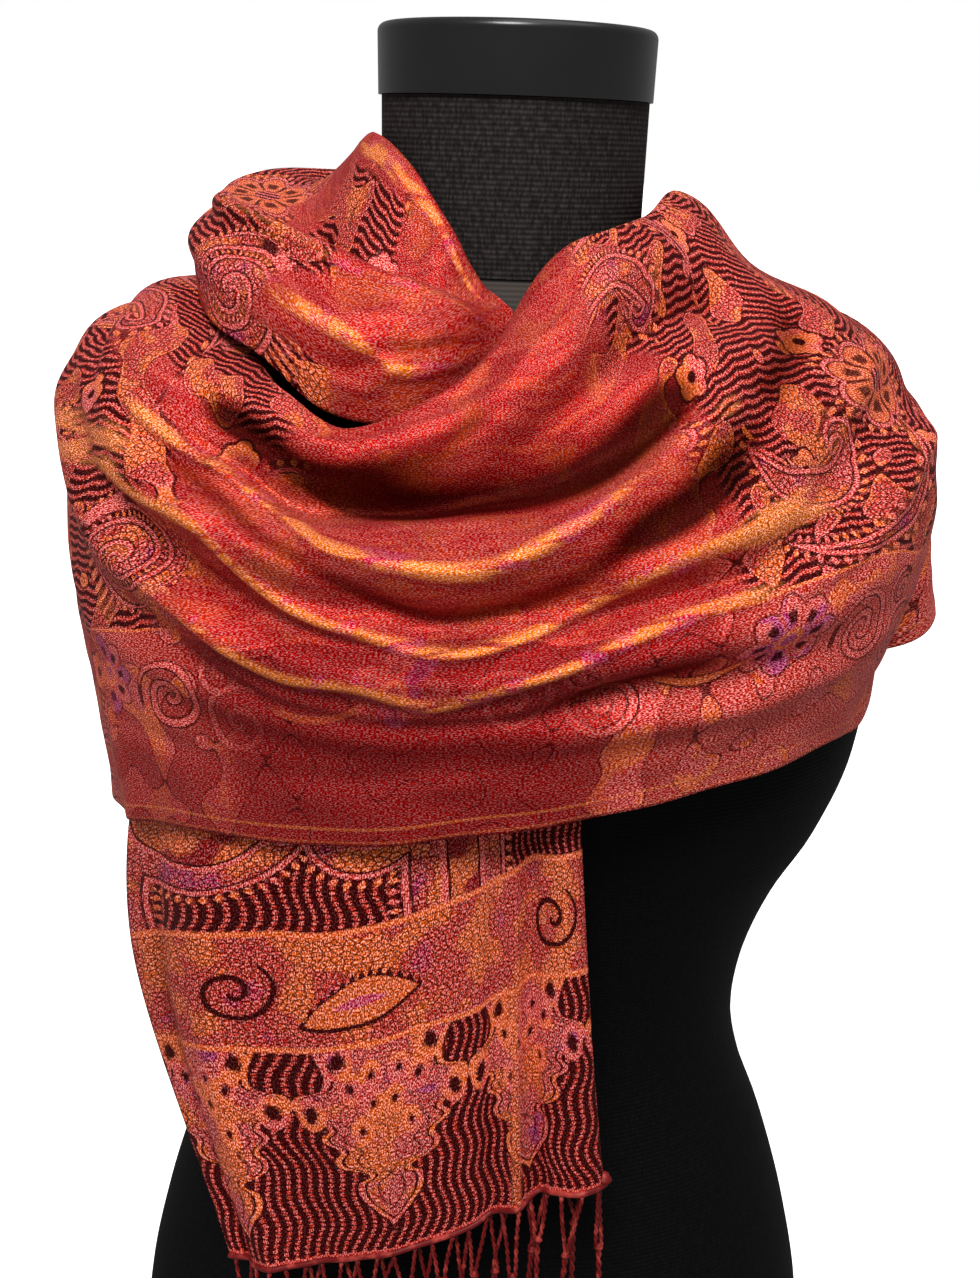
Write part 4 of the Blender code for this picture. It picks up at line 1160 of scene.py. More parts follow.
def blended(mask, below, above):
    """One colour over another, by a mask; colours are sockets or plain colours."""
    node = mask.tree.nodes.new("ShaderNodeMix")
    node.data_type = "RGBA"
    connect(mask, node.inputs[0])
    connect(below, node.inputs[6])
    connect(above, node.inputs[7])
    return node.outputs[2]


def noise(tree, place, scale, detail=1.0, dimensions="2D"):
    """Soft cloud noise of a vector, as a value about a half."""
    node = tree.nodes.new("ShaderNodeTexNoise")
    node.noise_dimensions = dimensions
    connect(place, node.inputs["Vector"])
    node.inputs["Scale"].default_value = scale
    node.inputs["Detail"].default_value = detail
    return Term(tree, node.outputs["Fac"])


def pair(first, second):
    """A flat vector of two values."""
    node = first.tree.nodes.new("ShaderNodeCombineXYZ")
    connect(first, node.inputs[0])
    connect(second, node.inputs[1])
    return node.outputs[0]


def parts_of(tree, vector):
    """The three values of a vector."""
    node = tree.nodes.new("ShaderNodeSeparateXYZ")
    connect(vector, node.inputs[0])
    return [Term(tree, socket) for socket in node.outputs]


def largest(terms):
    """The largest of some values."""
    best = terms[0]
    for term in terms[1:]:
        best = best.larger(term)
    return best


def new_group(name, inputs, *outputs):
    """An empty node group: its tree, its inputs in order and a function that sets an output.

    An input is given by its default number and comes as a term, or by its kind of socket and comes as that.
    """
    tree = bpy.data.node_groups.new(name, "ShaderNodeTree")
    for label, given in inputs.items():
        is_number = isinstance(given, float)
        socket = tree.interface.new_socket(label, in_out="INPUT", socket_type=NUMBER if is_number else given)
        if is_number:
            socket.default_value = given
    for label in outputs:
        tree.interface.new_socket(label, in_out="OUTPUT", socket_type=COLOUR if label == "Color" else NUMBER)
    entry = tree.nodes.new("NodeGroupInput").outputs
    leave = tree.nodes.new("NodeGroupOutput").inputs
    values = []
    for label, given in inputs.items():
        values.append(Term(tree, entry[label]) if isinstance(given, float) else entry[label])

    def put(label, value):
        connect(value, leave[label])

    return tree, values, put


def use_group(tree, group, **values):
    """A node of a group in a tree, with its inputs linked or set."""
    node = tree.nodes.new("ShaderNodeGroup")
    node.node_tree = group
    for label, value in values.items():
        connect(value, node.inputs[label.replace("_", " ").capitalize()])
    return node


def repeat_group():
    """Repeats a plane in half-drop cells: places in the cell from its middle, and which cell it is."""
    tree, (along, across, length, width), put = new_group(
        "Half-drop repeat",
        {"Along": 0.0, "Across": 0.0, "Length": 150.0, "Width": 120.0},
        "X",
        "Y",
        "Turn",
    )
    row = (across / width).floor()
    odd = (row * 0.5).fract() * 2.0
    moved = along / length + odd * 0.5
    side = 1.0 - odd * 2.0
    put("X", (moved.fract() - 0.5) * length)
    put("Y", ((across / width).fract() - 0.5) * width * side)
    put("Turn", (moved.floor() * 0.37 + row * 0.61).fract())
    return tree


def rosette_group():
    """A flower: how far inside its outline a place is, its petals' gaps and spots, and its heart."""
    tree, (x, y, reach, petals), put = new_group(
        "Rosette",
        {"X": 0.0, "Y": 0.0, "Reach": 18.0, "Petals": 8.0},
        "Depth",
        "Gaps",
        "Spots",
        "Heart",
    )
    half_turn = y.angle_to(x) * petals * 0.5
    out = x.reach(y)
    share = out / reach
    lobe = half_turn.cos().abs()
    put("Depth", reach * (lobe * 0.26 + 0.74) - out)
    put("Gaps", lobe.fall(0.15, 0.36) * share.within(0.30, 0.95, 0.08))
    put("Spots", lobe.rise(0.72, 0.86) * share.within(0.44, 0.70, 0.05))
    put("Heart", share.fall(0.24, 0.30))
    return tree


def scroll_group():
    """A spiral tendril: how near a place is to its line, in millimetres."""
    inputs = {"X": 0.0, "Y": 0.0, "Reach": 16.0, "Pitch": 7.0}
    tree, (x, y, reach, pitch), put = new_group("Scroll", inputs, "Away")
    out = x.reach(y)
    wound = (out / pitch - y.angle_to(x) / (2 * math.pi)).fract() - 0.5
    past = (out - reach).larger(0.0)
    put("Away", wound.abs() * pitch + past)
    return tree


def stripes_group():
    """Wavy toothed stripes along the cloth: scalloped in the field, in long waves in the end panel."""
    inputs = {"Along": 0.0, "Across": 0.0, "End": 0.0, "Pitch": 3.4}
    tree, (along, across, end, pitch), put = new_group("Wavy stripes", inputs, "Line")
    slow = (along * (2 * math.pi / 64.0) + across * 0.031).sin() * 1.8
    scallop = (along * (math.pi / 13.0) - across * 0.05).sin().abs() * 1.2
    long_wave = (along * (2 * math.pi / 27.0) + across * 0.022).sin() * 1.5
    teeth = ((along / 1.8).fract() - 0.5) * 0.7
    bent = across + slow + scallop + (long_wave - scallop) * end + teeth
    put("Line", (bent * (2 * math.pi) / pitch).sin())
    return tree


def crescent_group():
    """A curved stroke that tapers to both ends: how far inside its outline a place is."""
    inputs = {"X": 0.0, "Y": 0.0, "Bend": 16.0, "Body": 5.0, "Half turn": 2.0}
    tree, (x, y, bend, body, half_turn), put = new_group("Crescent", inputs, "Depth")
    share = y.angle_to(x).abs() / half_turn
    wide = (1.0 - share * share) * body
    put("Depth", wide.larger(-6.0) - (x.reach(y) - bend).abs())
    return tree


def figure_group():
    """Lays one woven figure over a colour, by depth inside it: beads, lines, rings and a cracked filling."""
    inputs = {
        "Below": COLOUR,
        "Depth": 0.0,
        "Round": 0.0,
        "Strength": 1.0,
        "Warmth": 0.5,
        "Cracks": 0.0,
        "Dark": COLOUR,
        "Coral": COLOUR,
        "Orange": COLOUR,
        "Pink": COLOUR,
        "Violet": COLOUR,
    }
    tree, values, put = new_group("Figure", inputs, "Color")
    below, depth, way, strength, warmth, cracks, dark, coral, orange, pink, violet = values
    wave = (way * (2 * math.pi / BEAD_PITCH)).cos()
    beads = (wave * 1.3 - (depth + 3.7).abs()).rise(-0.6, -0.2)
    filling = blended(warmth.rise(0.49, 0.62), coral, orange)
    filling = blended(warmth.within(0.36, 0.46, 0.03), filling, pink)
    filling = blended(warmth.fall(0.30, 0.38) * 0.75, filling, violet)
    filling = blended(cracks * 0.85, filling, dark)
    colour = blended(depth.rise(-5.6, -5.2) * strength * 0.6, below, dark)
    colour = blended(beads * strength, colour, blended(warmth.rise(0.35, 0.55), pink, orange))
    for start, share, shade in (
        (-1.6, 1.0, pink),
        (0.2, 0.95, dark),
        (1.1, 1.0, filling),
        (8.0, 0.95, dark),
        (9.2, 1.0, below),
        (14.0, 0.95, dark),
        (15.0, 1.0, filling),
    ):
        colour = blended(depth.rise(start, start + 0.3) * strength * share, colour, shade)
    put("Color", colour)
    return tree


def finial_group():
    """The end panel's hanging finials: depth inside their outline, and their scrolls' eyes and rings."""
    tree, (up, aside), put = new_group("Finial", {"Up": 0.0, "Aside": 0.0}, "Depth", "Eyes", "Rings")
    aside = aside.abs()
    curve = tree.nodes.new("ShaderNodeFloatCurve")
    line = curve.mapping.curves[0]
    for at, half in FINIAL[1:-1]:
        line.points.new(at / FINIAL_HEIGHT, half / FINIAL_WIDTH)
    for point, (at, half) in zip((line.points[0], line.points[-1]), (FINIAL[0], FINIAL[-1])):
        point.location = (at / FINIAL_HEIGHT, half / FINIAL_WIDTH)
    curve.mapping.update()
    connect(up / FINIAL_HEIGHT, curve.inputs["Value"])
    half_width = Term(tree, curve.outputs[0]) * FINIAL_WIDTH
    put("Depth", (half_width - aside) * 0.8)
    eyes = []
    rings = []
    for at, off, size in FINIAL_EYES:
        away = ((up - at) * 0.62).reach(aside - off)
        eyes.append(away.fall(size - 0.3, size + 0.3))
        rings.append(away.within(size + 1.0, size + 3.0, 0.3))
    put("Eyes", largest(eyes))
    put("Rings", largest(rings))
    return tree


class Weave:
    """The whole jacquard as a node group: colour, roughness and relief, from a place on the cloth in metres.

    The colour grows by layers, from the ground up to the painted highlights on crests and the painted shade
    in troughs.
    """

    def __init__(self, groups):
        inputs = {"Place": "NodeSocketVector", "Shine": 0.0, "Calm": 0.0, **dict.fromkeys(PALETTE, COLOUR)}
        self.tree, values, self.put = new_group("Jacquard", inputs, "Color", "Roughness", "Height")
        place, self.shine, self.calm, *colours = values
        self.dark, self.crimson, self.coral, self.orange = colours[:4]
        self.pink, self.violet, self.gold, self.ember = colours[4:]
        self.groups = groups
        metres = parts_of(self.tree, place)
        self.plain_along = metres[0] * 1000.0
        self.plain_across = metres[1] * 1000.0
        drift = noise(self.tree, place, 24.0) - 0.5
        sway = noise(self.tree, place, 33.0) - 0.5
        self.along = ((self.plain_along + drift * 5.0) / THREAD).floor() * THREAD
        self.across = ((self.plain_across + sway * 4.0) / THREAD).floor() * THREAD
        threads = pair(self.along, self.across)
        self.warmth = noise(self.tree, threads, 0.055, 2.0)
        self.grain = noise(self.tree, pair(self.plain_along, self.plain_across * 2.4), 1.0, 0.0)
        self.blob = noise(self.tree, threads, 0.045, 0.0)
        self.streak = noise(self.tree, pair(self.plain_along * 0.022, self.plain_across * 0.16), 1.0, 3.0)
        cell = self.tree.nodes.new("ShaderNodeTexVoronoi")
        cell.voronoi_dimensions = "2D"
        cell.feature = "DISTANCE_TO_EDGE"
        connect(pair(self.plain_along * 0.50, self.plain_across * 0.33), cell.inputs["Vector"])
        cell.inputs["Scale"].default_value = 1.0
        self.cracks = Term(self.tree, cell.outputs["Distance"]).fall(0.05, 0.16)
        self.fading = self.calm.rise(0.55, 0.95)
        self.is_end = self.plain_along.fall(END_LENGTH - 2.0, END_LENGTH + 2.0)
        self.in_field = (1.0 - self.is_end) * (1.0 - self.fading * 0.86)
        self.warm = self.by_warmth(0.42, 0.55, self.pink, self.orange)
        self.colour = self.crimson

    def lay(self, mask, colour):
        """Lays one more colour over the rest, where the mask is 1."""
        self.colour = blended(mask, self.colour, colour)

    def use(self, name, **values):
        """The outputs of one of the groups inside, with its inputs linked or set."""
        node = use_group(self.tree, self.groups[name], **values)
        return [Term(self.tree, socket) for socket in node.outputs]

    def cell(self, along, across, length=FIELD_LENGTH, width=FIELD_WIDTH):
        """A place in a half-drop repeat about one of its figures, and which cell it is."""
        away = {"along": self.along - along, "across": self.across - across}
        return self.use("repeat", length=length, width=width, **away)

    def by_warmth(self, low, high, cool, warm):
        """One of two colours, by the slow drift of warmth over the cloth."""
        return blended(self.warmth.rise(low, high), cool, warm)

    def cracked(self, amount, colour, crack):
        """A colour with cracks of another."""
        return blended(self.cracks * amount, colour, crack)

    def ground(self):
        """Light toothed stripes on dark, closing to a streaky crimson satin where the weave is calm."""
        striped = self.calm.fall(0.15, 0.45)
        pitch = self.is_end * 0.5 + STRIPE_PITCH
        line = self.use("stripes", along=self.along, across=self.across, pitch=pitch, end=self.is_end)[0]
        breaks = (self.plain_along / 2.3).fract().within(0.62, 0.90, 0.08) * self.is_end
        light = (line - breaks * 0.7 - self.is_end * 0.10).rise(0.02, 0.55)
        self.lay(self.streak.rise(0.44, 0.66) * 0.55, self.coral)
        self.lay(self.streak.fall(0.32, 0.46) * 0.8, self.ember)
        self.lay(striped, blended(light, self.dark, self.coral))
        self.put("Height", line.rise(-0.25, 0.30) * 0.6 * striped + self.grain)

    def blossoms(self):
        """Leafy patches and small blossoms between the figures."""
        leaves = self.cracked(0.8, self.by_warmth(0.50, 0.58, self.coral, self.orange), self.dark)
        self.lay(self.blob.rise(0.575, 0.582) * self.in_field * 0.9, self.dark)
        self.lay(self.blob.rise(0.592, 0.600) * self.in_field, self.warm)
        self.lay(self.blob.rise(0.612, 0.620) * self.in_field, leaves)
        x, y, _ = self.cell(1215.0, 96.0, FIELD_LENGTH / 2, FIELD_WIDTH / 2)
        depth, _, _, heart = self.use("rosette", x=x, y=y, reach=8.5, petals=5.0)
        self.lay(depth.rise(-2.0, -1.6) * self.in_field * 0.9, self.dark)
        self.lay(depth.rise(-0.6, -0.2) * self.in_field, self.warm)
        self.lay(heart * self.in_field, self.dark)

    def sprig(self, x, y):
        """How far inside a sprig's curved strokes a place is."""
        strokes = []
        for off_x, off_y, turn, bend, body, half_turn in SPRIG:
            level = (x - off_x) * math.cos(turn) + (y - off_y) * math.sin(turn)
            upright = (y - off_y) * math.cos(turn) - (x - off_x) * math.sin(turn)
            strokes += self.use("crescent", x=level, y=upright, bend=bend, body=body, half_turn=half_turn)
        return largest(strokes)

    def panel_figures(self):
        """The end panel's discs and big hanging paisley: depth inside them and the way round them."""
        x = self.across.repeated(118.0, END_PITCH)
        y = self.along - 112.0
        wide = (y * 0.62).smaller(21.0).smaller((158.0 - y) * 0.6) - (x + (y * 0.022).sin() * 5.0).abs()
        depth = (wide * 0.82).smaller(y * 0.7)
        way = y + x * 0.2
        for at, off, size in END_DISCS:
            x = self.across.repeated(off, END_PITCH)
            y = self.along - at
            disc = size - x.reach(y)
            way = way.towards(y.angle_to(x) * size, (disc - depth).over(0.0))
            depth = depth.larger(disc)
        return depth, way

    def figures(self):
        """Beaded flowers, and spirals in turn with sprigs, in the field, and the end panel's own figures."""
        x, flower_y, _ = self.cell(1172.0, 102.0)
        flower_x = x * 0.64
        petal_depth, gaps, spots, heart = self.use("rosette", x=flower_x, y=flower_y, reach=19.0, petals=7.0)
        x, y, turn = self.cell(1110.0, 63.0)
        spiral = 4.2 - self.use("scroll", x=x, y=y + 4.0, reach=23.0, pitch=15.0)[0]
        other_depth = self.sprig(x, y).towards(spiral, turn.within(0.15, 0.60, 0.01))
        field_way = (flower_y.angle_to(flower_x) * 22.0).towards(
            y.angle_to(x) * 24.0, (other_depth - petal_depth).over(0.0)
        )
        panel_depth, panel_way = self.panel_figures()
        self.colour = self.use(
            "figure",
            below=self.colour,
            depth=petal_depth.larger(other_depth).towards(panel_depth.smaller(7.8), self.is_end),
            round=field_way.towards(panel_way, self.is_end),
            strength=self.in_field.larger(self.is_end),
            warmth=self.warmth,
            cracks=self.cracks,
            dark=self.dark,
            coral=self.coral,
            orange=self.orange,
            pink=self.pink,
            violet=self.violet,
        )[0].socket
        inner = self.cracked(0.7, self.by_warmth(0.40, 0.56, self.crimson, self.orange), self.dark)
        self.lay(panel_depth.rise(8.8, 9.2) * self.is_end, inner)
        self.lay(panel_depth.within(9.0, 11.0, 0.2) * self.is_end, self.pink)
        self.lay(panel_depth.within(11.0, 11.9, 0.2) * self.is_end, self.dark)
        on_petals = petal_depth.rise(0.8, 1.2) * self.in_field
        self.lay(on_petals, self.cracked(0.5, self.orange, self.crimson))
        self.lay(gaps.larger(spots) * on_petals * 0.9, self.dark)
        self.lay(heart * self.in_field, blended((flower_x * 2.2).sin().rise(-0.2, 0.2), self.dark, self.pink))

    def border(self):
        """The selvage border: speckled cloth with flowers, tendrils and arcs under an orange line."""
        on = self.across.fall(BORDER - 0.3, BORDER + 0.3) * (1.0 - self.is_end)
        on = on * (1.0 - self.plain_along.within(500.0, 870.0, 12.0))
        ground = blended(self.warmth.rise(0.40, 0.60) * 0.5, self.coral, self.pink)
        # Where the weave is calm the ground turns crimson and darker; on the lower border this darkening is
        # partly painted shade.
        ground = blended(self.calm * 0.95, ground, self.crimson)
        ground = blended(self.cracks * 0.25 + self.calm * 0.22, ground, self.dark)
        ground = blended(self.blob.within(0.556, 0.570, 0.003) * 0.8, ground, self.dark)
        leaves = self.cracked(0.7, self.by_warmth(0.50, 0.58, self.pink, self.orange), self.crimson)
        ground = blended(self.blob.rise(0.570, 0.576) * (1.0 - self.fading), ground, leaves)
        self.lay(on, ground)
        drawn = on * (1.0 - self.fading * 0.75)

        x = self.along.repeated(1155.0, FIELD_LENGTH)
        y = self.across - 66.0
        depth, gaps, spots, _ = self.use("rosette", x=x * 0.85, y=y, reach=17.0, petals=8.0)
        petals = blended(gaps, self.by_warmth(0.42, 0.52, self.violet, self.pink), self.coral)
        self.lay(depth.rise(-1.2, -0.8) * drawn * 0.7, self.dark)
        self.lay(depth.rise(-0.2, 0.2) * drawn, petals)
        self.lay(spots * drawn * 0.95, self.dark)
        self.lay(x.reach(y).within(3.2, 5.6, 0.3) * drawn, self.orange)
        for at, off, reach, pitch, turn in BORDER_SCROLLS:
            x = self.along.repeated(at, FIELD_LENGTH) * turn
            away = self.use("scroll", x=x, y=self.across - off, reach=reach, pitch=pitch)[0]
            self.lay(away.fall(2.2, 2.5) * drawn * 0.85, self.dark)
            self.lay(away.fall(1.3, 1.6) * drawn, self.pink)
        x = self.along.repeated(1122.0, FIELD_LENGTH)
        y = self.across - BORDER
        arc = x.reach(y) - 33.0
        on_arc = x.fall(16.0, 22.0) * x.rise(-20.0, -12.0) * y.fall(-12.0, -8.0)
        self.lay(arc.within(-2.2, 2.2, 0.3) * on_arc * drawn * 0.9, self.dark)
        self.lay(arc.within(-1.4, 1.4, 0.3) * on_arc * drawn, self.orange)
        line = self.across.within(BORDER - 1.0, BORDER + 1.2, 0.2) * on.rise(0.0, 0.5)
        self.lay(line * (1.0 - self.calm * 1.7).larger(0.0), self.orange)

    def end_band(self):
        """A plain band across the end panel between two lines, with spirals and toothed leaves."""
        flat = blended(self.warmth.fall(0.28, 0.36) * 0.4, self.coral, self.violet)
        flat = self.cracked(0.8, self.by_warmth(0.47, 0.60, flat, self.orange), self.dark)
        self.lay(self.along.within(97.0, 145.0, 0.2) * self.is_end, flat)
        x = self.across.repeated(39.0, END_PITCH)
        away = self.use("scroll", x=x, y=self.along - 121.0, reach=13.0, pitch=8.5)[0]
        self.lay(away.fall(0.9, 1.3) * self.is_end, self.dark)
        x = self.across.repeated(78.0, END_PITCH)
        y = self.along - 116.0 - x * 0.22 + x * x * 0.013
        leaf = 11.0 - y.abs() - x * x * 0.028
        teeth = (x * 2.0).cos() * y.over(0.0) * 1.5
        self.lay((leaf + teeth).rise(-0.2, 0.2) * self.is_end, self.dark)
        self.lay((leaf - 1.6).rise(0.0, 0.4) * self.is_end, self.cracked(0.5, self.orange, self.dark))
        self.lay((leaf - 8.5).rise(0.0, 0.4) * self.is_end * 0.7, self.violet)
        for low in (96.0, 144.0):
            self.lay(self.along.within(low, low + 2.4, 0.2) * self.is_end, self.orange)

    def finials(self):
        """The finials that hang from the end panel's band to the hem, and the hem's own light edge."""
        aside = self.across.repeated(21.0, FINIAL_PITCH)
        depth, eyes, rings = self.use("finial", up=self.along, aside=aside)
        on = self.is_end * self.along.fall(95.5, 96.5)
        filling = self.by_warmth(0.48, 0.60, self.by_warmth(0.28, 0.37, self.violet, self.pink), self.orange)
        self.lay(depth.rise(-1.4, -1.0) * on * 0.9, self.dark)
        self.lay(depth.rise(-0.2, 0.2) * on, self.warm)
        self.lay(depth.within(1.6, 2.5, 0.2) * on, self.dark)
        self.lay(depth.rise(2.4, 2.8) * on, self.cracked(0.7, filling, self.dark))
        self.lay(depth.within(5.6, 6.4, 0.2) * on * 0.8, self.dark)
        self.lay(rings * on, self.warm)
        self.lay(eyes * on, self.dark)
        self.lay(self.plain_along.fall(2.2, 2.8) * self.is_end, self.coral)

    def light(self):
        """Lines along the selvage, and painted light: gold painted highlights on crests and painted shade in
        troughs.
        """
        faint = self.plain_across.within(1.0, 2.2, 0.3) * 0.5
        line = self.plain_across.within(6.6, 7.8, 0.3).larger(faint)
        self.lay(line * (1.0 - self.is_end) * 0.25, self.gold)
        # A painted highlight: gold, broken by streaks and cracks, on crests.
        crest = self.shine.rise(0.30, 0.85) * self.streak.rise(0.36, 0.56) * (1.0 - self.is_end)
        self.lay(crest * 0.8, self.cracked(0.45, self.gold, self.crimson))
        # A painted orange highlight on the crests of the front end's ripples.
        self.lay(self.shine.rise(0.45, 0.75) * self.is_end * 0.7, self.cracked(0.8, self.orange, self.dark))
        # A painted violet sheen on lit crests where the weave is calm.
        painted_violet_sheen = self.shine.rise(0.15, 0.5) * self.warmth.rise(0.56, 0.62)
        self.lay(painted_violet_sheen * self.calm * 0.4, self.violet)
        # Painted shade: troughs are made darker and deeper red.
        shade = (-self.shine).rise(0.10, 1.25)
        bright = self.grain.rise(0.28, 0.72)
        value = (bright - 0.5) * (1.15 - self.calm * 0.70) + 1.07
        tone = self.tree.nodes.new("ShaderNodeHueSaturation")
        connect(self.colour, tone.inputs["Color"])
        connect(1.22 - bright * bright * 0.48 + shade * 0.15, tone.inputs["Saturation"])
        connect(value * (1.0 - shade * 0.90), tone.inputs["Value"])
        self.put("Color", tone.outputs[0])
        self.put("Roughness", 0.52 - self.calm * 0.10 + (self.grain - 0.5) * 0.25)


def weave():
    """The jacquard's group and those inside it, made once."""
    made = bpy.data.node_groups.get("Jacquard")
    if made:
        return made
    cloth = Weave(
        {
            "repeat": repeat_group(),
            "rosette": rosette_group(),
            "scroll": scroll_group(),
            "stripes": stripes_group(),
            "crescent": crescent_group(),
            "figure": figure_group(),
            "finial": finial_group(),
        }
    )
    cloth.ground()
    cloth.blossoms()
    cloth.figures()
    cloth.border()
    cloth.end_band()
    cloth.finials()
    cloth.light()
    return cloth.tree


def new_finish(name, roughness, specular=0.5):
    """A new material of even roughness: itself, its tree and its shader's inputs."""
    made = bpy.data.materials.new(name)
    made.use_nodes = True
    slots = made.node_tree.nodes["Principled BSDF"].inputs
    slots["Roughness"].default_value = roughness
    slots["Specular IOR Level"].default_value = specular
    return made, made.node_tree, slots


def roughen(tree, slots, height, strength, distance):
    """Gives a finish the fine relief of a height."""
    bump = tree.nodes.new("ShaderNodeBump")
    bump.inputs["Strength"].default_value = strength
    bump.inputs["Distance"].default_value = distance
    connect(height, bump.inputs["Height"])
    connect(bump.outputs[0], slots["Normal"])


def own_place(tree):
    """A piece's own coordinates."""
    return tree.nodes.new("ShaderNodeTexCoord").outputs["Object"]


def attribute(tree, name):
    """A value that a piece's points carry."""
    node = tree.nodes.new("ShaderNodeAttribute")
    node.attribute_name = name
    return node.outputs["Fac"]


def silk(name, settings):
    """The shawl's woven silk, laid out by the cloth's own places."""
    made, tree, slots = new_finish(name, roughness=0.5, specular=0.05)
    place = tree.nodes.new("ShaderNodeUVMap")
    place.uv_map = "cloth"
    colours = {label.lower(): (*getattr(settings, label.lower()), 1.0) for label in PALETTE}
    # The pieces carry painted light for their folds: painted highlights on crests and painted shade in
    # troughs.
    values = {"shine": attribute(tree, "shine"), "calm": attribute(tree, "calm"), **colours}
    node = use_group(tree, weave(), place=place.outputs[0], **values)
    connect(node.outputs["Color"], slots["Base Color"])
    connect(node.outputs["Roughness"], slots["Roughness"])
    roughen(tree, slots, node.outputs["Height"], strength=0.45, distance=0.0005)
    slots["Metallic"].default_value = 0.30
    slots["Specular Tint"].default_value = (1.0, 0.35, 0.30, 1.0)
    return made


def shaded(colour, share):
    """A plain colour, darkened to a share of itself."""
    return (*(share * c for c in colour), 1.0)


def yarn(name, settings):
    """The fringe's twisted silk."""
    made, tree, slots = new_finish(name, roughness=0.5, specular=0.2)
    bright = noise(tree, own_place(tree), 160.0, 2.0, "3D").rise(0.45, 0.70)
    colour = blended(bright, shaded(settings.crimson, 0.34), shaded(settings.coral, 0.62))
    connect(colour, slots["Base Color"])
    return made


def jersey(name, low, high):
    """The form's black knit cover between two colours: level ribs, bright stitches whose lighter colour is
    partly painted sheen, and a grey collar.
    """
    made, tree, slots = new_finish(name, roughness=0.75, specular=0.08)
    place = own_place(tree)
    level = parts_of(tree, place)[2]
    ribs = (level * (2 * math.pi / RIB_PITCH)).sin()
    stretched = tree.nodes.new("ShaderNodeVectorMath")
    stretched.operation = "MULTIPLY"
    connect(place, stretched.inputs[0])
    stretched.inputs[1].default_value = (1.0, 1.0, 0.35)
    grain = noise(tree, stretched.outputs[0], 900.0, 1.0, "3D")
    # Stitches take the lighter black in upright streaks; this is partly the stretched knit's colour and
    # partly painted sheen.
    colour = blended(grain.rise(0.30, 0.80) * (ribs * 0.40 + 0.60), low, high)
    collar = level.within(COLLAR_UP, TORSO_TOP - COLLAR_EDGE, COLLAR_EDGE)
    connect(blended(collar, colour, COLLAR_GREY), slots["Base Color"])
    roughen(tree, slots, ribs * 0.5 + grain, strength=0.5, distance=0.0003)
    return made


def gloss(name):
    """The neck block's black gloss, with faint wear."""
    made, tree, slots = new_finish(name, roughness=0.2, specular=0.4)
    smear = noise(tree, own_place(tree), 35.0, 4.0, "3D")
    connect(blended(smear, *BLOCK_BLACKS), slots["Base Color"])
    connect(smear * 0.16 + 0.20, slots["Roughness"])
    return made


def pale_floor(settings):
    """A floor that looks pale to the camera and throws back little light on the form."""
    made, tree, slots = new_finish("floor", roughness=0.9)
    seen = Term(tree, tree.nodes.new("ShaderNodeLightPath").outputs["Is Camera Ray"])
    dim = shaded(settings.floor_colour, settings.bounce)
    connect(blended(seen, dim, shaded(settings.floor_colour, 1.0)), slots["Base Color"])
    connect(blended(seen, BLACK, WHITE), slots["Emission Color"])
    slots["Emission Strength"].default_value = settings.glow
    return made


def soft_light(name, way, power, spread):
    """A large far studio light that shines along a direction, with soft shadows."""
    data = bpy.data.lights.new(name, "SUN")
    data.energy = power
    data.angle = math.radians(spread)
    light = bpy.data.objects.new(name, data)
    light.location = Vector(way) * -2.0
    light.rotation_mode = "QUATERNION"
    light.rotation_quaternion = Vector(way).to_track_quat("-Z", "Y")
    staged(light)


def staged(obj):
    """Adds an object of the stage to the scene."""
    bpy.context.scene.collection.objects.link(obj)


def make_stage(settings):
    """A large pale floor, light from all round, two soft lights, and the camera at the photo's place."""
    scene = bpy.context.scene
    scene.view_settings.view_transform = "Standard"
    world = bpy.data.worlds.new("studio")
    world.use_nodes = True
    tree = world.node_tree
    backdrop = tree.nodes["Background"]
    backdrop.inputs["Color"].default_value = WHITE
    seen = Term(tree, tree.nodes.new("ShaderNodeLightPath").outputs["Is Camera Ray"])
    connect(seen * (1.0 - settings.fill) + settings.fill, backdrop.inputs["Strength"])
    scene.world = world

    half = settings.floor_size / 2
    mesh = bpy.data.meshes.new("floor")
    corners = [(-half, -half, 0.0), (half, -half, 0.0), (half, half, 0.0), (-half, half, 0.0)]
    mesh.from_pydata(corners, [], [(0, 1, 2, 3)])
    mesh.materials.append(pale_floor(settings))
    staged(bpy.data.objects.new("floor", mesh))

    soft_light("key", KEY_WAY, settings.key, KEY_SPREAD)
    soft_light("top", TOP_WAY, settings.top, TOP_SPREAD)

    data = bpy.data.cameras.new("photo_camera")
    data.sensor_fit = "AUTO"
    data.sensor_width = SENSOR
    data.lens = FOCAL_PIXELS / PHOTO_HEIGHT * SENSOR
    data.shift_x = SHIFT_PIXELS / PHOTO_HEIGHT
    data.clip_start = 0.01
    camera = bpy.data.objects.new("photo_camera", data)
    looking = Matrix.Rotation(math.radians(90) - CAMERA_PITCH, 4, "X") @ Matrix.Rotation(CAMERA_ROLL, 4, "Z")
    camera.matrix_world = Matrix.Translation(EYE) @ looking
    staged(camera)
    scene.camera = camera


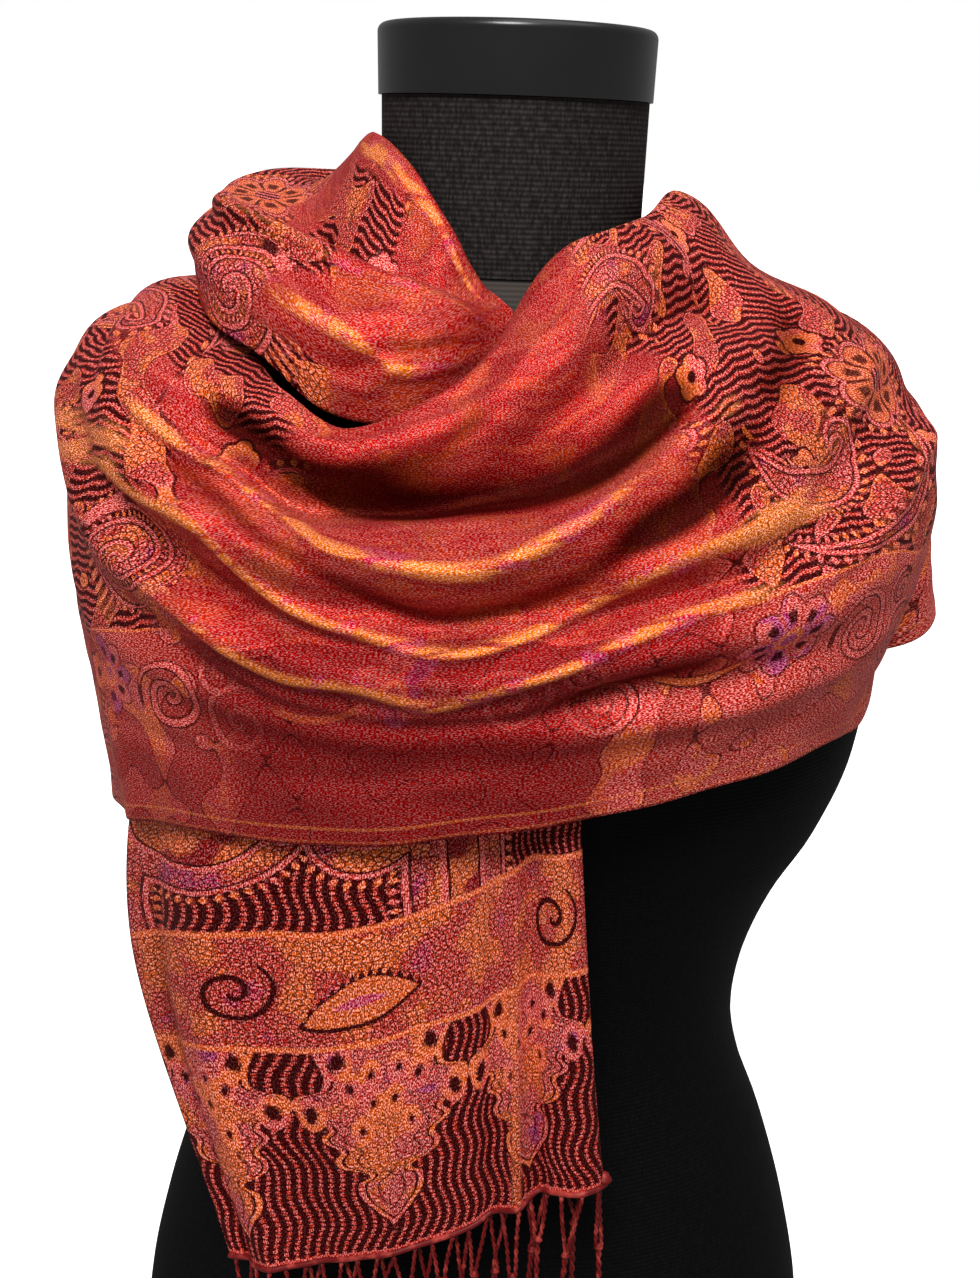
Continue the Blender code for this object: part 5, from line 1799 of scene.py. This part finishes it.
class ShawlSettings(PropertyGroup):
    """Sizes and colours of the shawl, its fringes, the form and the stage."""

    fold: FloatProperty(
        name="Fold strength",
        description="How strongly the finer folds show",
        default=1.0,
        min=0.0,
        max=1.5,
        subtype="FACTOR",
    )
    thickness: FloatProperty(
        name="Cloth thickness",
        description="Thickness of the woven silk",
        default=0.0008,
        unit="LENGTH",
    )
    length: FloatProperty(
        name="Fringe length",
        description="How far the fringe hangs below its hem",
        default=FRINGE_LENGTH,
        unit="LENGTH",
    )
    radius: FloatProperty(
        name="Cord radius",
        description="Radius of one twisted cord of the fringe",
        default=0.0010,
        unit="LENGTH",
    )
    pitch: FloatProperty(
        name="Cord twist",
        description="Length of one full twist of a cord",
        default=0.0075,
        unit="LENGTH",
    )
    front_pairs: IntProperty(
        name="Front cords",
        description="How many pairs of cords hang from the front end",
        default=20,
    )
    back_pairs: IntProperty(
        name="Back cords",
        description="How many pairs of cords hang from the back end",
        default=17,
    )
    dark: FloatVectorProperty(
        name="Dark red",
        description="Colour of the dark stripes and outlines",
        default=(0.045, 0.0006, 0.0010),
        size=3,
        subtype="COLOR",
    )
    crimson: FloatVectorProperty(
        name="Crimson",
        description="Colour of the calm ground",
        default=(0.330, 0.008, 0.008),
        size=3,
        subtype="COLOR",
    )
    coral: FloatVectorProperty(
        name="Coral",
        description="Colour of the light stripes and the border",
        default=(0.560, 0.060, 0.045),
        size=3,
        subtype="COLOR",
    )
    orange: FloatVectorProperty(
        name="Orange",
        description="Colour of the figures' rings",
        default=(0.760, 0.115, 0.020),
        size=3,
        subtype="COLOR",
    )
    pink: FloatVectorProperty(
        name="Pink",
        description="Colour of the figures' pearls and echoes",
        default=(0.640, 0.110, 0.098),
        size=3,
        subtype="COLOR",
    )
    violet: FloatVectorProperty(
        name="Violet",
        description="Colour of the figures' hearts",
        default=(0.440, 0.070, 0.160),
        size=3,
        subtype="COLOR",
    )
    # Gold paints the highlights on crests, and also draws the faint lines along the selvage.
    gold: FloatVectorProperty(
        name="Gold",
        description="Colour of the threads that catch the light on ridges",
        default=(0.920, 0.240, 0.036),
        size=3,
        subtype="COLOR",
    )
    ember: FloatVectorProperty(
        name="Ember",
        description="Colour of the satin's deep warm streaks",
        default=(0.480, 0.030, 0.008),
        size=3,
        subtype="COLOR",
    )
    fill: FloatProperty(
        name="Fill light",
        description="Strength of the light from all round",
        default=0.29,
    )
    key: FloatProperty(
        name="Key light",
        description="Strength of the light from above and in front",
        default=3.5,
    )
    top: FloatProperty(
        name="Top light",
        description="Strength of the light from above",
        default=1.0,
    )
    bounce: FloatProperty(
        name="Floor bounce",
        description="Share of its light that the floor throws back on the form",
        default=0.25,
        subtype="FACTOR",
    )
    glow: FloatProperty(
        name="Floor glow",
        description="How bright the floor looks where it lies in shade",
        default=0.7,
        subtype="FACTOR",
    )
    floor_size: FloatProperty(
        name="Floor size",
        description="Width and depth of the floor",
        default=60.0,
        unit="LENGTH",
    )
    floor_colour: FloatVectorProperty(
        name="Floor colour",
        description="Colour of the floor",
        default=(0.82, 0.82, 0.82),
        size=3,
        subtype="COLOR",
    )


class SHAWL_OT_cape(Operator):
    """Adds the stretch of the shawl over the shoulders"""

    bl_idname = "shawl.cape"
    bl_label = "Cape"

    def execute(self, context):
        make_cape(context.scene.shawl)
        return {"FINISHED"}


class SHAWL_OT_neck_band(Operator):
    """Adds the gathered stretch about the neck"""

    bl_idname = "shawl.neck_band"
    bl_label = "Neck band"

    def execute(self, context):
        make_band(context.scene.shawl)
        return {"FINISHED"}


class SHAWL_OT_ends(Operator):
    """Adds the shawl's two hanging ends"""

    bl_idname = "shawl.ends"
    bl_label = "Hanging ends"

    def execute(self, context):
        make_front_end(context.scene.shawl)
        make_back_end(context.scene.shawl)
        return {"FINISHED"}


class SHAWL_OT_fringes(Operator):
    """Adds the knotted fringe of both ends"""

    bl_idname = "shawl.fringes"
    bl_label = "Fringes"

    def execute(self, context):
        make_fringes(context.scene.shawl)
        return {"FINISHED"}


class SHAWL_OT_form(Operator):
    """Adds the dress form's torso, neck and neck block"""

    bl_idname = "shawl.form"
    bl_label = "Dress form"

    def execute(self, context):
        make_form()
        return {"FINISHED"}


class SHAWL_OT_stage(Operator):
    """Adds the floor, the lights and the camera"""

    bl_idname = "shawl.stage"
    bl_label = "Stage"

    def execute(self, context):
        make_stage(context.scene.shawl)
        return {"FINISHED"}


class SHAWL_PT_panel(Panel):
    """Lists the shawl's settings and its operators"""

    bl_idname = "SHAWL_PT_panel"
    bl_label = "Shawl"
    bl_space_type = "VIEW_3D"
    bl_region_type = "UI"
    bl_category = "Shawl"

    def draw(self, context):
        settings = context.scene.shawl
        column = self.layout.column()
        for name in ShawlSettings.__annotations__:
            column.prop(settings, name)
        for operator in OPERATORS:
            column.operator(operator.bl_idname)


OPERATORS = (
    SHAWL_OT_form,
    SHAWL_OT_cape,
    SHAWL_OT_neck_band,
    SHAWL_OT_ends,
    SHAWL_OT_fringes,
    SHAWL_OT_stage,
)


def register():
    """Adds the settings, the operators and the panel to Blender."""
    bpy.utils.register_class(ShawlSettings)
    for operator in OPERATORS:
        bpy.utils.register_class(operator)
    bpy.utils.register_class(SHAWL_PT_panel)
    bpy.types.Scene.shawl = PointerProperty(type=ShawlSettings)


def unregister():
    """Takes them out again."""
    del bpy.types.Scene.shawl
    bpy.utils.unregister_class(SHAWL_PT_panel)
    for operator in reversed(OPERATORS):
        bpy.utils.unregister_class(operator)
    bpy.utils.unregister_class(ShawlSettings)


def main():
    """Builds every piece."""
    register()
    bpy.ops.shawl.form()
    bpy.ops.shawl.cape()
    bpy.ops.shawl.neck_band()
    bpy.ops.shawl.ends()
    bpy.ops.shawl.fringes()
    bpy.ops.shawl.stage()
    bpy.context.view_layer.update()


if __name__ == "__main__":
    main()
